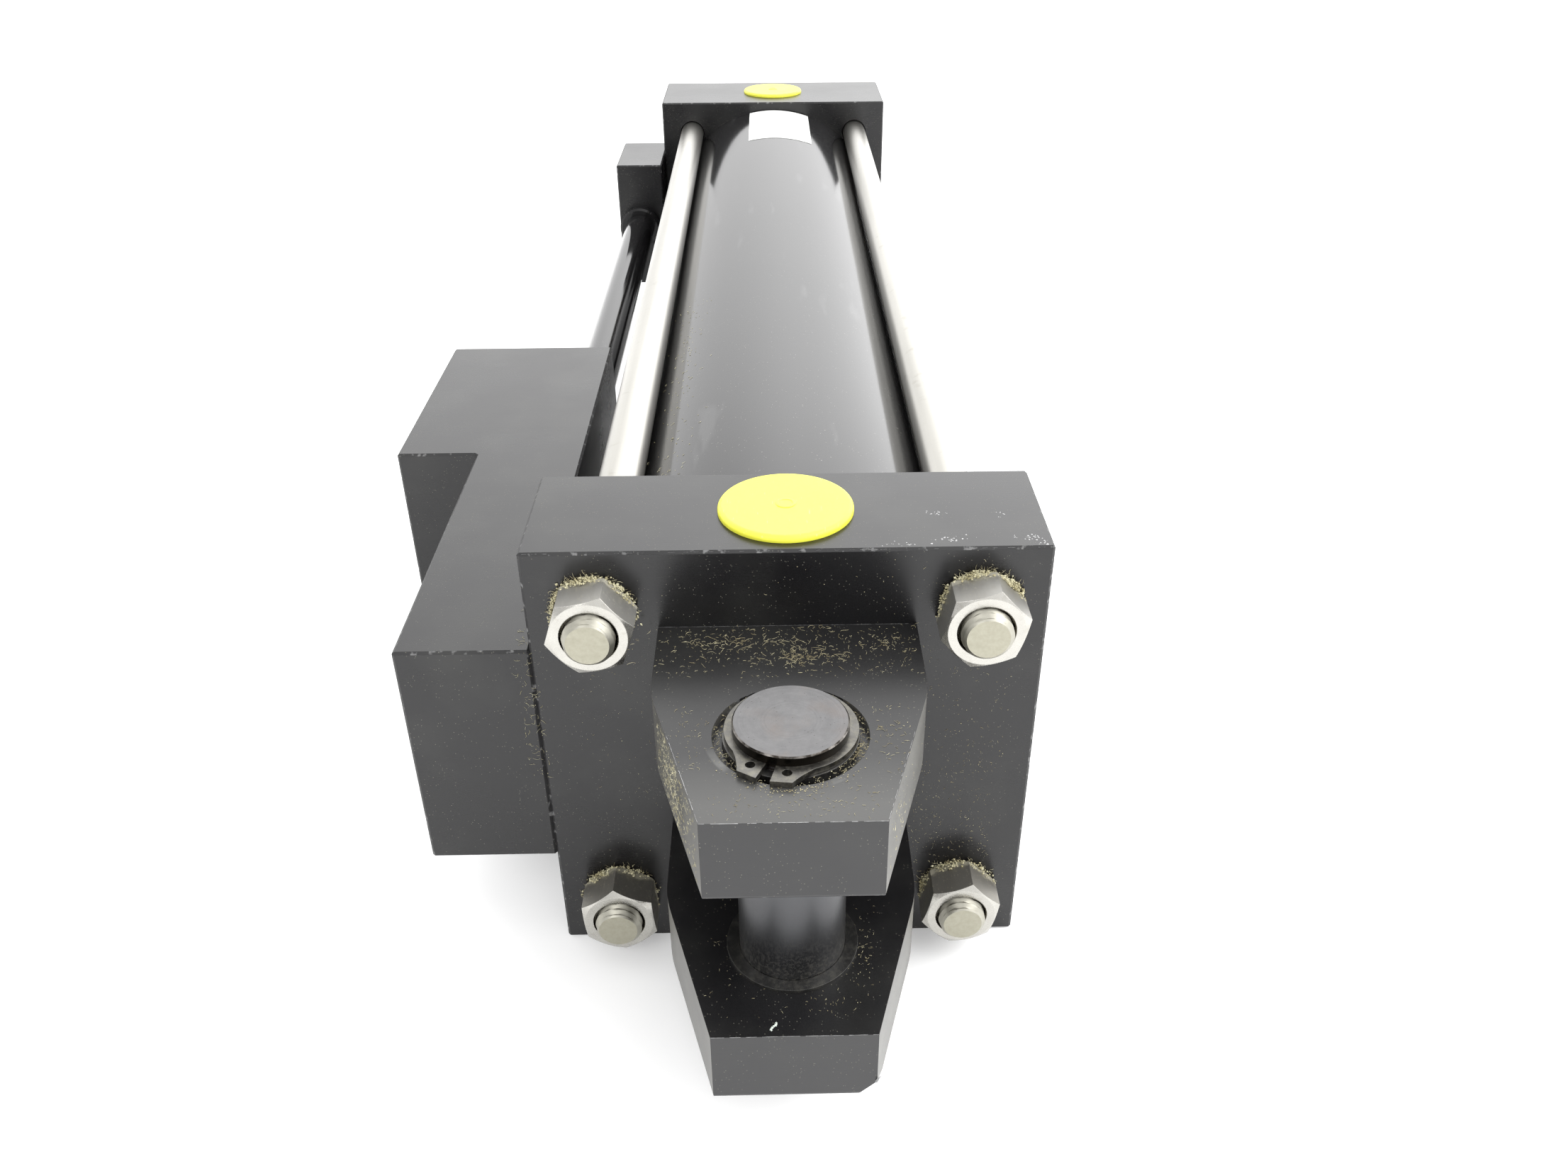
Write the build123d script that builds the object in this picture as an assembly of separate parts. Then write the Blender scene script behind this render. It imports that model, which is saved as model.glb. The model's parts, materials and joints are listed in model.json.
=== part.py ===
from build123d import *
import math
import os

# Hydraulic tie-rod cylinder with a fixed clevis, in millimetres. The origin is the centre of
# the pivot pin, +Y runs along the cylinder to the rod end, +Z is up on the side of the two
# ports, and the manifold is bolted to the -X side. A cut runs 1 mm past the face it opens in,
# and a boss starts 1 mm inside the body that it joins.

# Cylinder
HEAD_SIDE = 95.25
CAP_LENGTH = 30.2
HEAD_LENGTH = 44.45
BORE_R = 41.275
BARREL_R = 44.45
BARREL_LENGTH = 352.4
PILOT_LENGTH = 6.35
PILOT_GROOVE = (1.4, 4.8)
PILOT_GROOVE_DEPTH = 3.1
PILOT_SEAL_MIDDLE = 3.1
PILOT_SEAL_IN = 1.5
PILOT_SEAL_WIRE = 1.45
CAP_CHAMBER_R = 14.0
CAP_FLOOR = 6.3
HEAD_CHAMBER_R = 15.9
STROKE = 304.8
END_GAP = 0.25
EDGE_BREAK = 0.5
FIT_GAP = 0.05
THREAD_GAP = 0.05

# Tie rods and their nuts
TIE_OFFSET = 35.05
TIE_R = 4.7625
TIE_HOLE_R = 5.15
TIE_TIP = 2.3
TIE_CHAMFER = 0.9
NUT_ACROSS_FLATS = 14.29
NUT_HEIGHT = 8.2
NUT_FACE_R = 6.9
NUT_SINK_R = 5.3
NUT_TURNS = {(-1, 1): 12, (1, 1): 14, (-1, -1): 35, (1, -1): 16}

# Clevis
PIN_TO_CAP = 31.75
PIN_R = 9.525
PIN_STAND = 2.9
PIN_CHAMFER = 0.25
GAP_WIDTH = 31.75
EAR_THICKNESS = 15.875
EAR_HALF_ROOT = 23.6
EAR_HALF_NOSE = 14.2
EAR_NOSE = 20.95
EAR_SHOULDER = 11.5
EAR_SHOULDER_R = 25.0
EAR_UNDER_R = 1.0
CHIP = 5.1
CHIP_RUN = 9.0
CHIP_LEAN = 0.3
CHIP_OUT = 0.5
BUSH_R = 11.1
BUSH_FLANGE_R = 11.85
BUSH_FLANGE = 0.6
RECESS_R = 12.8
RECESS_DEPTH = 1.6
EAR_SCREW_X = 14.0

# Retaining ring
RING_THICKNESS = 1.1
RING_GAP = 0.05
RING_INNER_R = 8.95
RING_OUTER_R = 10.95
RING_OFFSET = 0.3
RING_GROOVE_GAP = 0.02
RING_EYE_R = 0.8
RING_EYE_AT = 11.0
RING_GAP_ANGLE = -110.0
RING_HALF_GAP = 5.0
LUG_EYE_ANGLE = 16.0
LUG_CORNER = (13.35, 20.0)
LUG_FLANK = (11.35, 31.0)
LUG_ROOT = (10.6, 50.0)

# Ports
PORT_R = 10.0
PORT_DEPTH = 16.0
PASSAGE_R = 5.5
PLUG_FLANGE_R = 12.7
PLUG_FLANGE = 1.35
PLUG_STEM = 11.0
PLUG_WALL = 1.4
PLUG_TAPER = 0.7
PLUG_SHOULDER = 3.0
PLUG_HOLLOW_TOP = 2.0
PLUG_ROUND = 0.9
REST_GAP = 0.02

# Piston and rod
ROD_R = 12.7
ROD_STUD_R = 9.525
PISTON_GAP = 0.12
SEAL_GAP = 0.06
GROOVE_GAP = 0.1
PISTON_CHAMFER = 0.8
SEAL_FROM_END = (3.0, 9.0)
SEAL_FLOOR_R = 35.6
SEAL_LIP = (1.2, 3.2)
BAND_FROM_START = (12.2, 22.2)
BAND_FLOOR_R = 39.0
PISTON_NUT_ACROSS_FLATS = 28.6
PISTON_NUT_HEIGHT = 12.0
PISTON_NUT_GAP = 0.5
PISTON_NUT_POCKET_R = 18.0
STUD_SEAL_GROOVE = (22.0, 24.6)
STUD_SEAL_GROOVE_DEPTH = 1.6
STUD_SEAL_OUT = 0.8
STUD_SEAL_WIRE = 0.7
ROD_CHAMFER = 1.5
ROD_END_CHAMFER = 1.2
ROD_SHOULDER_FROM_HEAD = 34.9
ROD_THREAD_R = 9.525
ROD_THREAD_LENGTH = 28.6
ROD_FLATS = 22.2
ROD_FLATS_LENGTH = 12.7

# Gland
GLAND_R = 19.05
GLAND_FLANGE_R = 21.4
GLAND_FLANGE = 4.8
GLAND_DEPTH = 12.8
GLAND_STAND = 15.9
GLAND_CHAMFER = 1.0
GLAND_SEAL_GROOVE = (2.4, 5.4)
GLAND_SEAL_GROOVE_DEPTH = 2.2
GLAND_SEAL_WIRE = 1.0
ROD_SEAL = (8.0, 14.0)
ROD_SEAL_R = 17.0
WIPER_FROM_END = (1.0, 5.6)
WIPER_R = 16.4
RETAINER_R = 33.0
RETAINER_THICKNESS = 9.5
RETAINER_SCREW_CIRCLE_R = 27.0
RETAINER_CHAMFER = 0.8
RETAINER_SCREW_HOLE = 9.0
RETAINER_SCREW_GRIP = 8.5

# Quarter inch socket screws
SCREW_R = 3.175
SCREW_HOLE_R = 3.4
SCREW_HEAD_R = 4.76
SCREW_HEAD = 6.35
SCREW_SOCKET = 4.8
SCREW_SOCKET_DEPTH = 3.15
COUNTERBORE_R = 5.1
COUNTERBORE = 6.8
SCREW_GRIP = 13.0

# Manifold on the cap, transfer tube and the block that it feeds on the head
MANIFOLD_THICKNESS = 25.4
MANIFOLD_LENGTH = 152.4
MANIFOLD_HEIGHT = 50.8
MANIFOLD_MID = 1.5
PAD_THICKNESS = 44.45
PAD_LENGTH = 68.8
BLOCK_THICKNESS = 19.05
BLOCK_LENGTH = 41.3
BLOCK_START = 392.8
SIDE_PORT_R = 4.5
SIDE_PORT_Z = -9.0
FACE_SEAL_R = 6.8
FACE_SEAL_WIRE = 0.9
FACE_SEAL_DEPTH = 0.95
FACE_GROOVE_DEPTH = 1.9
FACE_GROOVE_HALF = 1.3
BORE_LINE_X = -65.0
BORE_LINE_R = 3.5
BORE_PLUG_R = 4.0
BORE_PLUG_LENGTH = 7.0
BORE_PLUG_SOCKET = 3.2
BORE_PLUG_SOCKET_DEPTH = 3.5
MANIFOLD_SCREW_Y = 8.0
MANIFOLD_SCREW_Z = (20.5, -17.5)
BLOCK_SCREW_Z = 16.5
TUBE_R = 6.0
TUBE_BORE_R = 4.3
TUBE_X = -57.9
TUBE_SOCKET = 14.0
COLLAR_R = 8.5
COLLAR = 5.0
COLLAR_CHAMFER = 0.8
TUBE_SEAL_WIRE = 0.8
TUBE_SEAL_OUT = 0.85
TUBE_SEAL_MIDDLE = 7.2
TUBE_GROOVE = (6.0, 8.4)
TUBE_GROOVE_DEPTH = 1.7

# Valve pad on the manifold: hole places along Y and Z from the pad's middle
VALVE_SCREW_R = 2.5
VALVE_SCREW_DEPTH = 10.0
VALVE_SCREW_Y = 20.25
VALVE_SCREW_LOW = -15.5
VALVE_SCREW_HIGH_NEAR = 15.5
VALVE_SCREW_HIGH_FAR = 16.25
VALVE_PORT_R = 3.75
VALVE_P = (1.25, 10.4)
VALVE_T = (1.25, -10.4)
VALVE_A = (-7.55, 0.0)
VALVE_B = (9.95, 0.0)
SERVICE_PORT_R = 7.15
SERVICE_PORT_DEPTH = 12.0
PRESSURE_X = -74.5
TANK_X = -78.0

# Label on the barrel
LABEL_THICKNESS = 0.15
LABEL_START = 362.5
LABEL_LENGTH = 50.8
LABEL_FROM = 70.4
LABEL_TO = 103.0

# Places worked out from the sizes above
HALF = HEAD_SIDE / 2
CAP_FRONT = PIN_TO_CAP
CAP_BACK = CAP_FRONT + CAP_LENGTH
HEAD_NEAR = CAP_BACK + BARREL_LENGTH
HEAD_FAR = HEAD_NEAR + HEAD_LENGTH
CAP_PORT_Y = CAP_FRONT + CAP_LENGTH / 2
HEAD_PORT_Y = HEAD_NEAR + HEAD_LENGTH / 2
CHAMBER_START = CAP_BACK + PILOT_LENGTH
CHAMBER_END = HEAD_NEAR - PILOT_LENGTH
PISTON_START = CHAMBER_START + END_GAP
PISTON_END = CHAMBER_END - END_GAP - STROKE
GLAND_START = HEAD_FAR - GLAND_DEPTH
GLAND_END = HEAD_FAR + GLAND_STAND
RETAINER_END = HEAD_FAR + RETAINER_THICKNESS
ROD_SHOULDER = HEAD_FAR + ROD_SHOULDER_FROM_HEAD
ROD_TIP = ROD_SHOULDER + ROD_THREAD_LENGTH
EAR_INNER = GAP_WIDTH / 2
EAR_OUTER = EAR_INNER + EAR_THICKNESS
EAR_SCREW_Z = EAR_INNER + EAR_THICKNESS / 2
MANIFOLD_LEFT = -HALF - MANIFOLD_THICKNESS
PAD_X = -HALF - PAD_THICKNESS
MANIFOLD_END = CAP_FRONT + MANIFOLD_LENGTH
PAD_START = MANIFOLD_END - PAD_LENGTH
PAD_MID = MANIFOLD_END - PAD_LENGTH / 2
MANIFOLD_LOW = MANIFOLD_MID - MANIFOLD_HEIGHT / 2
MANIFOLD_HIGH = MANIFOLD_MID + MANIFOLD_HEIGHT / 2
BLOCK_LEFT = -HALF - BLOCK_THICKNESS
BLOCK_END = BLOCK_START + BLOCK_LENGTH
BLOCK_PORT_Y = (HEAD_NEAR + BLOCK_END) / 2
TIE_CORNERS = list(NUT_TURNS)
CAP_CHAMBER_FLOOR = CAP_FRONT + CAP_FLOOR


def block(x_span, y_span, z_span):
    """A box between its lowest and highest corners."""
    size = [high - low for low, high in (x_span, y_span, z_span)]
    middle = [(high + low) / 2 for low, high in (x_span, y_span, z_span)]
    return Pos(*middle) * Box(*size)


def bar_x(radius, start, end, y=0.0, z=0.0):
    """A cylinder along X."""
    return Pos((start + end) / 2, y, z) * Rot(0, 90, 0) * Cylinder(radius, end - start)


def bar_y(radius, start, end, x=0.0, z=0.0):
    """A cylinder along Y."""
    return Pos(x, (start + end) / 2, z) * Rot(90, 0, 0) * Cylinder(radius, end - start)


def bar_z(radius, start, end, x=0.0, y=0.0):
    """A cylinder along Z."""
    return Pos(x, y, (start + end) / 2) * Cylinder(radius, end - start)


def turned_y(points, x=0.0, z=0.0):
    """A closed (radius, y) outline turned about a line along Y."""
    face = make_face(Polyline(*points, close=True))
    return Pos(x, 0, z) * revolve(face, Axis.Y)


def turned_z(points):
    """A closed (radius, z) outline turned about the Z axis."""
    face = make_face(Plane.XZ * Polyline(*points, close=True))
    return revolve(face, Axis.Z)


def o_ring_y(radius, wire, y, x=0.0, z=0.0):
    """An O-ring in a plane across Y."""
    return Pos(x, y, z) * Rot(90, 0, 0) * Torus(radius, wire)


def o_ring_x(radius, wire, x, y, z):
    """An O-ring in a plane across X."""
    return Pos(x, y, z) * Rot(0, 90, 0) * Torus(radius, wire)


def hexagon_y(across_flats, start, end, turn=0.0):
    """A hexagonal bar along Y with a corner at the angle turn from +X."""
    face = Rot(0, 0, turn) * RegularPolygon(across_flats / 2, 6, major_radius=False)
    return Pos(0, end, 0) * Rot(90, 0, 0) * extrude(face, end - start)


def broken_edges(solid, size=EDGE_BREAK):
    """The same solid with a small chamfer on every edge."""
    return chamfer(solid.edges(), size)


def socket_screw(length):
    """A socket head cap screw along Z, its shank below z = 0 and its head above."""
    socket = extrude(RegularPolygon(SCREW_SOCKET / 2, 6, major_radius=False), SCREW_HEAD)
    head = chamfer(Cylinder(SCREW_HEAD_R, SCREW_HEAD).edges().group_by(Axis.Z)[-1], EDGE_BREAK)
    shank = bar_z(SCREW_R, -length, 0)
    return shank + Pos(0, 0, SCREW_HEAD / 2) * head - Pos(0, 0, SCREW_HEAD - SCREW_SOCKET_DEPTH) * socket


def group(solids):
    """Separate solids kept in one node."""
    return Compound([solid.solid() for solid in solids])


def tie_holes(start, end):
    """The four tie-rod holes through a cap or a head."""
    return [bar_y(TIE_HOLE_R, start, end, i * TIE_OFFSET, k * TIE_OFFSET) for i, k in TIE_CORNERS]


def top_port(y, chamber_r):
    """The port drilled down from the top face to the middle chamber."""
    mouth = bar_z(PORT_R, HALF - PORT_DEPTH, HALF + 1, y=y)
    drill = bar_z(PASSAGE_R, chamber_r / 2, HALF - PORT_DEPTH + 1, y=y)
    return mouth + drill


def pilot_groove(face_y, direction):
    """The O-ring groove cut round a pilot that stands out of a face."""
    start, end = sorted(face_y + direction * depth for depth in PILOT_GROOVE)
    return bar_y(BORE_R + 1, start, end) - bar_y(BORE_R - PILOT_GROOVE_DEPTH, start - 1, end + 1)


def end_cap():
    body = broken_edges(block((-HALF, HALF), (CAP_FRONT, CAP_BACK), (-HALF, HALF)))
    body += bar_y(BORE_R - FIT_GAP, CAP_BACK - 1, CHAMBER_START)
    body -= pilot_groove(CAP_BACK, 1)
    body -= bar_y(CAP_CHAMBER_R, CAP_CHAMBER_FLOOR, CHAMBER_START + 1)
    body -= tie_holes(CAP_FRONT - 1, CAP_BACK + 1)
    body -= top_port(CAP_PORT_Y, CAP_CHAMBER_R)
    body -= bar_x(SIDE_PORT_R, -HALF - 1, -CAP_CHAMBER_R / 2, CAP_PORT_Y, SIDE_PORT_Z)
    for y, z in manifold_screw_places():
        body -= bar_x(SCREW_R + THREAD_GAP, -HALF - 1, -HALF + SCREW_GRIP + 1, y, z)
    for x, z in ear_screw_places():
        body -= bar_y(SCREW_HOLE_R, CAP_FRONT - 1, CHAMBER_START, x, z)
        body -= bar_y(COUNTERBORE_R, CHAMBER_START - COUNTERBORE, CHAMBER_START + 1, x, z)
    return body


def rod_head():
    body = broken_edges(block((-HALF, HALF), (HEAD_NEAR, HEAD_FAR), (-HALF, HALF)))
    body += bar_y(BORE_R - FIT_GAP, CHAMBER_END, HEAD_NEAR + 1)
    body -= pilot_groove(HEAD_NEAR, -1)
    body -= bar_y(HEAD_CHAMBER_R, CHAMBER_END - 1, GLAND_START + 1)
    body -= bar_y(GLAND_R + FIT_GAP, GLAND_START, HEAD_FAR + 1)
    body -= bar_y(GLAND_FLANGE_R + FIT_GAP, HEAD_FAR - GLAND_FLANGE, HEAD_FAR + 1)
    body -= tie_holes(HEAD_NEAR - 1, HEAD_FAR + 1)
    body -= top_port(HEAD_PORT_Y, HEAD_CHAMBER_R)
    body -= bar_x(SIDE_PORT_R, -HALF - 1, -HEAD_CHAMBER_R / 2, BLOCK_PORT_Y, MANIFOLD_MID)
    for z in block_screw_heights():
        body -= bar_x(SCREW_R + THREAD_GAP, -HALF - 1, -HALF + SCREW_GRIP + 1, BLOCK_PORT_Y, z)
    for x, z in retainer_screw_places():
        body -= bar_y(SCREW_R + THREAD_GAP, HEAD_FAR - RETAINER_SCREW_HOLE, HEAD_FAR + 1, x, z)
    return body


def barrel():
    return bar_y(BARREL_R, CAP_BACK, HEAD_NEAR) - bar_y(BORE_R, CAP_BACK - 1, HEAD_NEAR + 1)


def barrel_seal(face_y, direction):
    return o_ring_y(BORE_R - PILOT_SEAL_IN, PILOT_SEAL_WIRE, face_y + direction * PILOT_SEAL_MIDDLE)


def label():
    """A thin blank label bent round the top of the barrel."""
    skin = bar_y(BARREL_R + LABEL_THICKNESS, LABEL_START, LABEL_START + LABEL_LENGTH)
    skin -= bar_y(BARREL_R, LABEL_START - 1, LABEL_START + LABEL_LENGTH + 1)
    reach = 2 * BARREL_R
    corners = [(0.0, 0.0)]
    for angle in (LABEL_FROM, (LABEL_FROM + LABEL_TO) / 2, LABEL_TO):
        corners.append((reach * math.cos(math.radians(angle)), reach * math.sin(math.radians(angle))))
    wedge = extrude(make_face(Plane.XZ * Polyline(*corners, close=True)), LABEL_START + LABEL_LENGTH + 1,
                    dir=(0, 1, 0))
    return skin & wedge


def tie_rod(i, k):
    start = CAP_FRONT - NUT_HEIGHT - TIE_TIP
    end = HEAD_FAR + NUT_HEIGHT + TIE_TIP
    bar = bar_y(TIE_R, start, end)
    bar = chamfer(bar.edges().filter_by(GeomType.CIRCLE), TIE_CHAMFER)
    return Pos(i * TIE_OFFSET, 0, k * TIE_OFFSET) * bar


def nut(start, turn):
    """A hexagon nut whose flats are chamfered to a round face at both ends."""
    end = start + NUT_HEIGHT
    corner_r = NUT_ACROSS_FLATS / math.sqrt(3)
    slope = (corner_r - NUT_FACE_R) * math.tan(math.radians(30))
    envelope = [(0, start), (NUT_FACE_R, start), (corner_r, start + slope), (corner_r, end - slope),
                (NUT_FACE_R, end), (0, end)]
    sink = NUT_SINK_R - TIE_R
    bore = [(0, start - 1), (NUT_SINK_R, start - 1), (NUT_SINK_R, start), (TIE_R + THREAD_GAP, start + sink),
            (TIE_R + THREAD_GAP, end - sink), (NUT_SINK_R, end), (NUT_SINK_R, end + 1), (0, end + 1)]
    return hexagon_y(NUT_ACROSS_FLATS, start, end, turn) & turned_y(envelope) - turned_y(bore)


def nuts(start):
    """The four tie-rod nuts on one face."""
    places = [(i * TIE_OFFSET, k * TIE_OFFSET, turn) for (i, k), turn in NUT_TURNS.items()]
    return group([Pos(x, 0, z) * nut(start, turn) for x, z, turn in places])


def ear_outline():
    """The ear seen from above: straight at the root, tapered to the nose."""
    right = [(EAR_HALF_ROOT, CAP_FRONT), (EAR_HALF_ROOT, EAR_SHOULDER), (EAR_HALF_NOSE, -EAR_NOSE)]
    left = [(-x, y) for x, y in reversed(right)]
    face = make_face(Polyline(*right, *left, close=True))
    shoulders = [v for v in face.vertices() if abs(v.Y - EAR_SHOULDER) < 0.01]
    return fillet(shoulders, EAR_SHOULDER_R)


def ear(low, side):
    """One clevis ear on the cap; side is the sign of its outer face's z."""
    body = Pos(0, 0, low) * extrude(ear_outline(), EAR_THICKNESS)
    under = body.edges().group_by(Axis.Z)[0]
    body = fillet([e for e in under if e.center().Y < CAP_FRONT - 1], EAR_UNDER_R)
    inner, outer = side * EAR_INNER, side * EAR_OUTER
    body -= bar_z(BUSH_R + FIT_GAP, low - 1, low + EAR_THICKNESS + 1)
    body -= bar_z(RECESS_R, *sorted((outer - side * RECESS_DEPTH, outer + side)))
    z = (inner + outer) / 2
    for i in (-1, 1):
        body -= bar_y(SCREW_R + THREAD_GAP, CAP_FRONT - SCREW_GRIP - 1, CAP_FRONT + 1, i * EAR_SCREW_X, z)
    return body


def upper_ear():
    return ear(EAR_INNER, 1)


def lower_ear():
    """The lower ear, with the chip at its right front bottom corner."""
    corner = (EAR_HALF_NOSE + CHIP_OUT, -EAR_NOSE - CHIP_OUT, -EAR_OUTER - CHIP_OUT)
    across = (corner[0] - CHIP, corner[1], corner[2])
    up = (corner[0], corner[1], corner[2] + CHIP)
    back = (corner[0] + CHIP_LEAN * CHIP_RUN, corner[1] + CHIP_RUN, corner[2])
    faces = [(corner, across, up), (corner, up, back), (corner, back, across), (across, back, up)]
    chip = Solid(Shell([make_face(Polyline(*points, close=True)).face() for points in faces]))
    return ear(-EAR_OUTER, -1) - chip


def ear_screw_places():
    return [(i * EAR_SCREW_X, k * EAR_SCREW_Z) for i in (-1, 1) for k in (-1, 1)]


def ear_screws():
    """Screws from inside the cap that hold the ears on."""
    seat = CHAMBER_START - COUNTERBORE
    screw = Rot(-90, 0, 0) * socket_screw(seat - CAP_FRONT + SCREW_GRIP)
    return group([Pos(x, seat, z) * screw for x, z in ear_screw_places()])


def ear_bush(side):
    """A bush pressed into an ear, level with its outer face, with a thin flange on the inside."""
    low, high = sorted((side * EAR_INNER, side * EAR_OUTER))
    flange_low, flange_high = sorted((side * EAR_INNER, side * (EAR_INNER - BUSH_FLANGE)))
    body = bar_z(BUSH_R, low, high) + bar_z(BUSH_FLANGE_R, flange_low, flange_high)
    return body - bar_z(PIN_R + FIT_GAP, -EAR_OUTER - 1, EAR_OUTER + 1)


def ring_levels():
    """The lower and upper faces of the upper retaining ring."""
    low = EAR_OUTER + RING_GAP
    return low, low + RING_THICKNESS


def pivot_pin():
    """The clevis pin with a groove for a retaining ring near each end."""
    low, high = ring_levels()
    top = EAR_OUTER + PIN_STAND
    groove_r = RING_INNER_R - RING_GROOVE_GAP
    groove_low, groove_high = low - RING_GROOVE_GAP, high + RING_GROOVE_GAP
    half = [(0, top), (PIN_R - PIN_CHAMFER, top), (PIN_R, top - PIN_CHAMFER), (PIN_R, groove_high),
            (groove_r, groove_high), (groove_r, groove_low), (PIN_R, groove_low)]
    return turned_z(half + [(r, -z) for r, z in reversed(half)])


def ring_point(radius, angle):
    """A point of the ring, its angle counted from the middle of the gap."""
    return radius * math.cos(math.radians(angle)), radius * math.sin(math.radians(angle))


def ring_lug(side):
    """A lug with a straight side at the gap and a hollow flank that runs into the ring."""
    middle_r = (RING_INNER_R + RING_OUTER_R) / 2
    corner, flank, root = [ring_point(radius, side * angle) for radius, angle in
                           (LUG_CORNER, LUG_FLANK, LUG_ROOT)]
    at_gap = ring_point(middle_r, side * RING_HALF_GAP)
    tip = ring_point(LUG_CORNER[0], side * RING_HALF_GAP)
    inside = ring_point(middle_r, side * LUG_ROOT[1] / 2)
    return make_face([Line(at_gap, tip), Line(tip, corner), ThreePointArc(corner, flank, root),
                      Line(root, inside), Line(inside, at_gap)])


def retaining_ring():
    """An external ring, wider away from its gap, with an eyed lug either side of it."""
    reach = 2 * RING_OUTER_R
    shape = Pos(-RING_OFFSET, 0) * Circle(RING_OUTER_R)
    for side in (-1, 1):
        shape += ring_lug(side)
    shape -= Circle(RING_INNER_R)
    for side in (-1, 1):
        shape -= Pos(*ring_point(RING_EYE_AT, side * LUG_EYE_ANGLE)) * Circle(RING_EYE_R)
    corners = [(0, 0), ring_point(reach, -RING_HALF_GAP), ring_point(reach, RING_HALF_GAP)]
    shape -= make_face(Polyline(*corners, close=True))
    return extrude(Rot(0, 0, RING_GAP_ANGLE) * shape, RING_THICKNESS)


def upper_ring():
    return Pos(0, 0, ring_levels()[0]) * retaining_ring()


def lower_ring():
    return Pos(0, 0, -ring_levels()[1]) * retaining_ring()


def port_plug(y):
    """A push-in plastic plug: a round-edged flange on a hollow tapered stem."""
    stem_top = PORT_R - FIT_GAP
    stem_low = stem_top - PLUG_TAPER
    outline = [(0, -PLUG_HOLLOW_TOP), (stem_top - PLUG_WALL, -PLUG_HOLLOW_TOP),
               (stem_low - PLUG_WALL, -PLUG_STEM), (stem_low, -PLUG_STEM), (stem_top, -PLUG_SHOULDER),
               (stem_top, REST_GAP),
               (PLUG_FLANGE_R, REST_GAP), (PLUG_FLANGE_R, PLUG_FLANGE), (0, PLUG_FLANGE)]
    body = turned_z(outline)
    rims = body.edges().filter_by(GeomType.CIRCLE).group_by(Axis.Z)[-1]
    return Pos(0, y, HALF) * fillet(rims, PLUG_ROUND)


def piston():
    """The piston, with two seal grooves, a wear band groove and a pocket for its nut."""
    body = bar_y(BORE_R - PISTON_GAP, PISTON_START, PISTON_END)
    body = chamfer(body.edges().filter_by(GeomType.CIRCLE), PISTON_CHAMFER)
    for start, end, floor in piston_grooves():
        body -= bar_y(BORE_R + 1, start, end) - bar_y(floor, start - 1, end + 1)
    body -= bar_y(ROD_STUD_R + FIT_GAP, PISTON_START - 1, PISTON_END + 1)
    body -= bar_y(PISTON_NUT_POCKET_R, PISTON_START - 1, PISTON_START + PISTON_NUT_HEIGHT + 1)
    start, end = [PISTON_START + depth for depth in STUD_SEAL_GROOVE]
    return body - bar_y(ROD_STUD_R + STUD_SEAL_GROOVE_DEPTH, start, end)


def piston_grooves():
    """Start, end and floor radius of the seal, wear band and seal grooves."""
    near, far = SEAL_FROM_END
    band_start, band_end = BAND_FROM_START
    return [(PISTON_START + near, PISTON_START + far, SEAL_FLOOR_R),
            (PISTON_START + band_start, PISTON_START + band_end, BAND_FLOOR_R),
            (PISTON_END - far, PISTON_END - near, SEAL_FLOOR_R)]


def piston_ring(index):
    """A seal or the wear band, a running fit in its groove and in the barrel."""
    start, end, floor = piston_grooves()[index]
    outer = bar_y(BORE_R - SEAL_GAP, start + GROOVE_GAP, end - GROOVE_GAP)
    return outer - bar_y(floor + GROOVE_GAP, start, end)


def piston_seal(index, lip):
    """A cup seal whose open side faces the pressure, towards -Y or +Y."""
    start, end, floor = piston_grooves()[index]
    mouth = start if lip < 0 else end
    middle = (floor + BORE_R) / 2
    half_width, depth = SEAL_LIP
    hollow = [(middle - half_width, mouth), (middle + half_width, mouth), (middle, mouth - lip * depth)]
    return piston_ring(index) - turned_y(hollow)


def piston_nut():
    start = PISTON_START + PISTON_NUT_GAP
    body = hexagon_y(PISTON_NUT_ACROSS_FLATS, start, start + PISTON_NUT_HEIGHT)
    return body - bar_y(ROD_STUD_R + THREAD_GAP, start - 1, start + PISTON_NUT_HEIGHT + 1)


def rod_seal_ring():
    """The O-ring between the rod's stud and the piston."""
    return o_ring_y(ROD_STUD_R + STUD_SEAL_OUT, STUD_SEAL_WIRE, PISTON_START + sum(STUD_SEAL_GROOVE) / 2)


def piston_rod():
    """The rod: a stud for the piston, the polished length, two flats and the end thread."""
    body = bar_y(ROD_R, PISTON_END, ROD_SHOULDER)
    body = chamfer(body.edges().filter_by(GeomType.CIRCLE).group_by(Axis.Y)[-1], ROD_CHAMFER)
    body += bar_y(ROD_STUD_R, PISTON_START + 1, PISTON_END)
    thread = bar_y(ROD_THREAD_R, ROD_SHOULDER, ROD_TIP)
    body += chamfer(thread.edges().filter_by(GeomType.CIRCLE).group_by(Axis.Y)[-1], ROD_END_CHAMFER)
    flats_end = ROD_SHOULDER + 1
    flats_start = ROD_SHOULDER - ROD_FLATS_LENGTH
    thread_room = bar_y(ROD_THREAD_R + REST_GAP, ROD_SHOULDER, flats_end + 1)
    for i in (-1, 1):
        span = sorted((i * ROD_FLATS / 2, i * (ROD_R + 1)))
        body -= block(span, (flats_start, flats_end), (-ROD_R - 1, ROD_R + 1)) - thread_room
    return body


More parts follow.
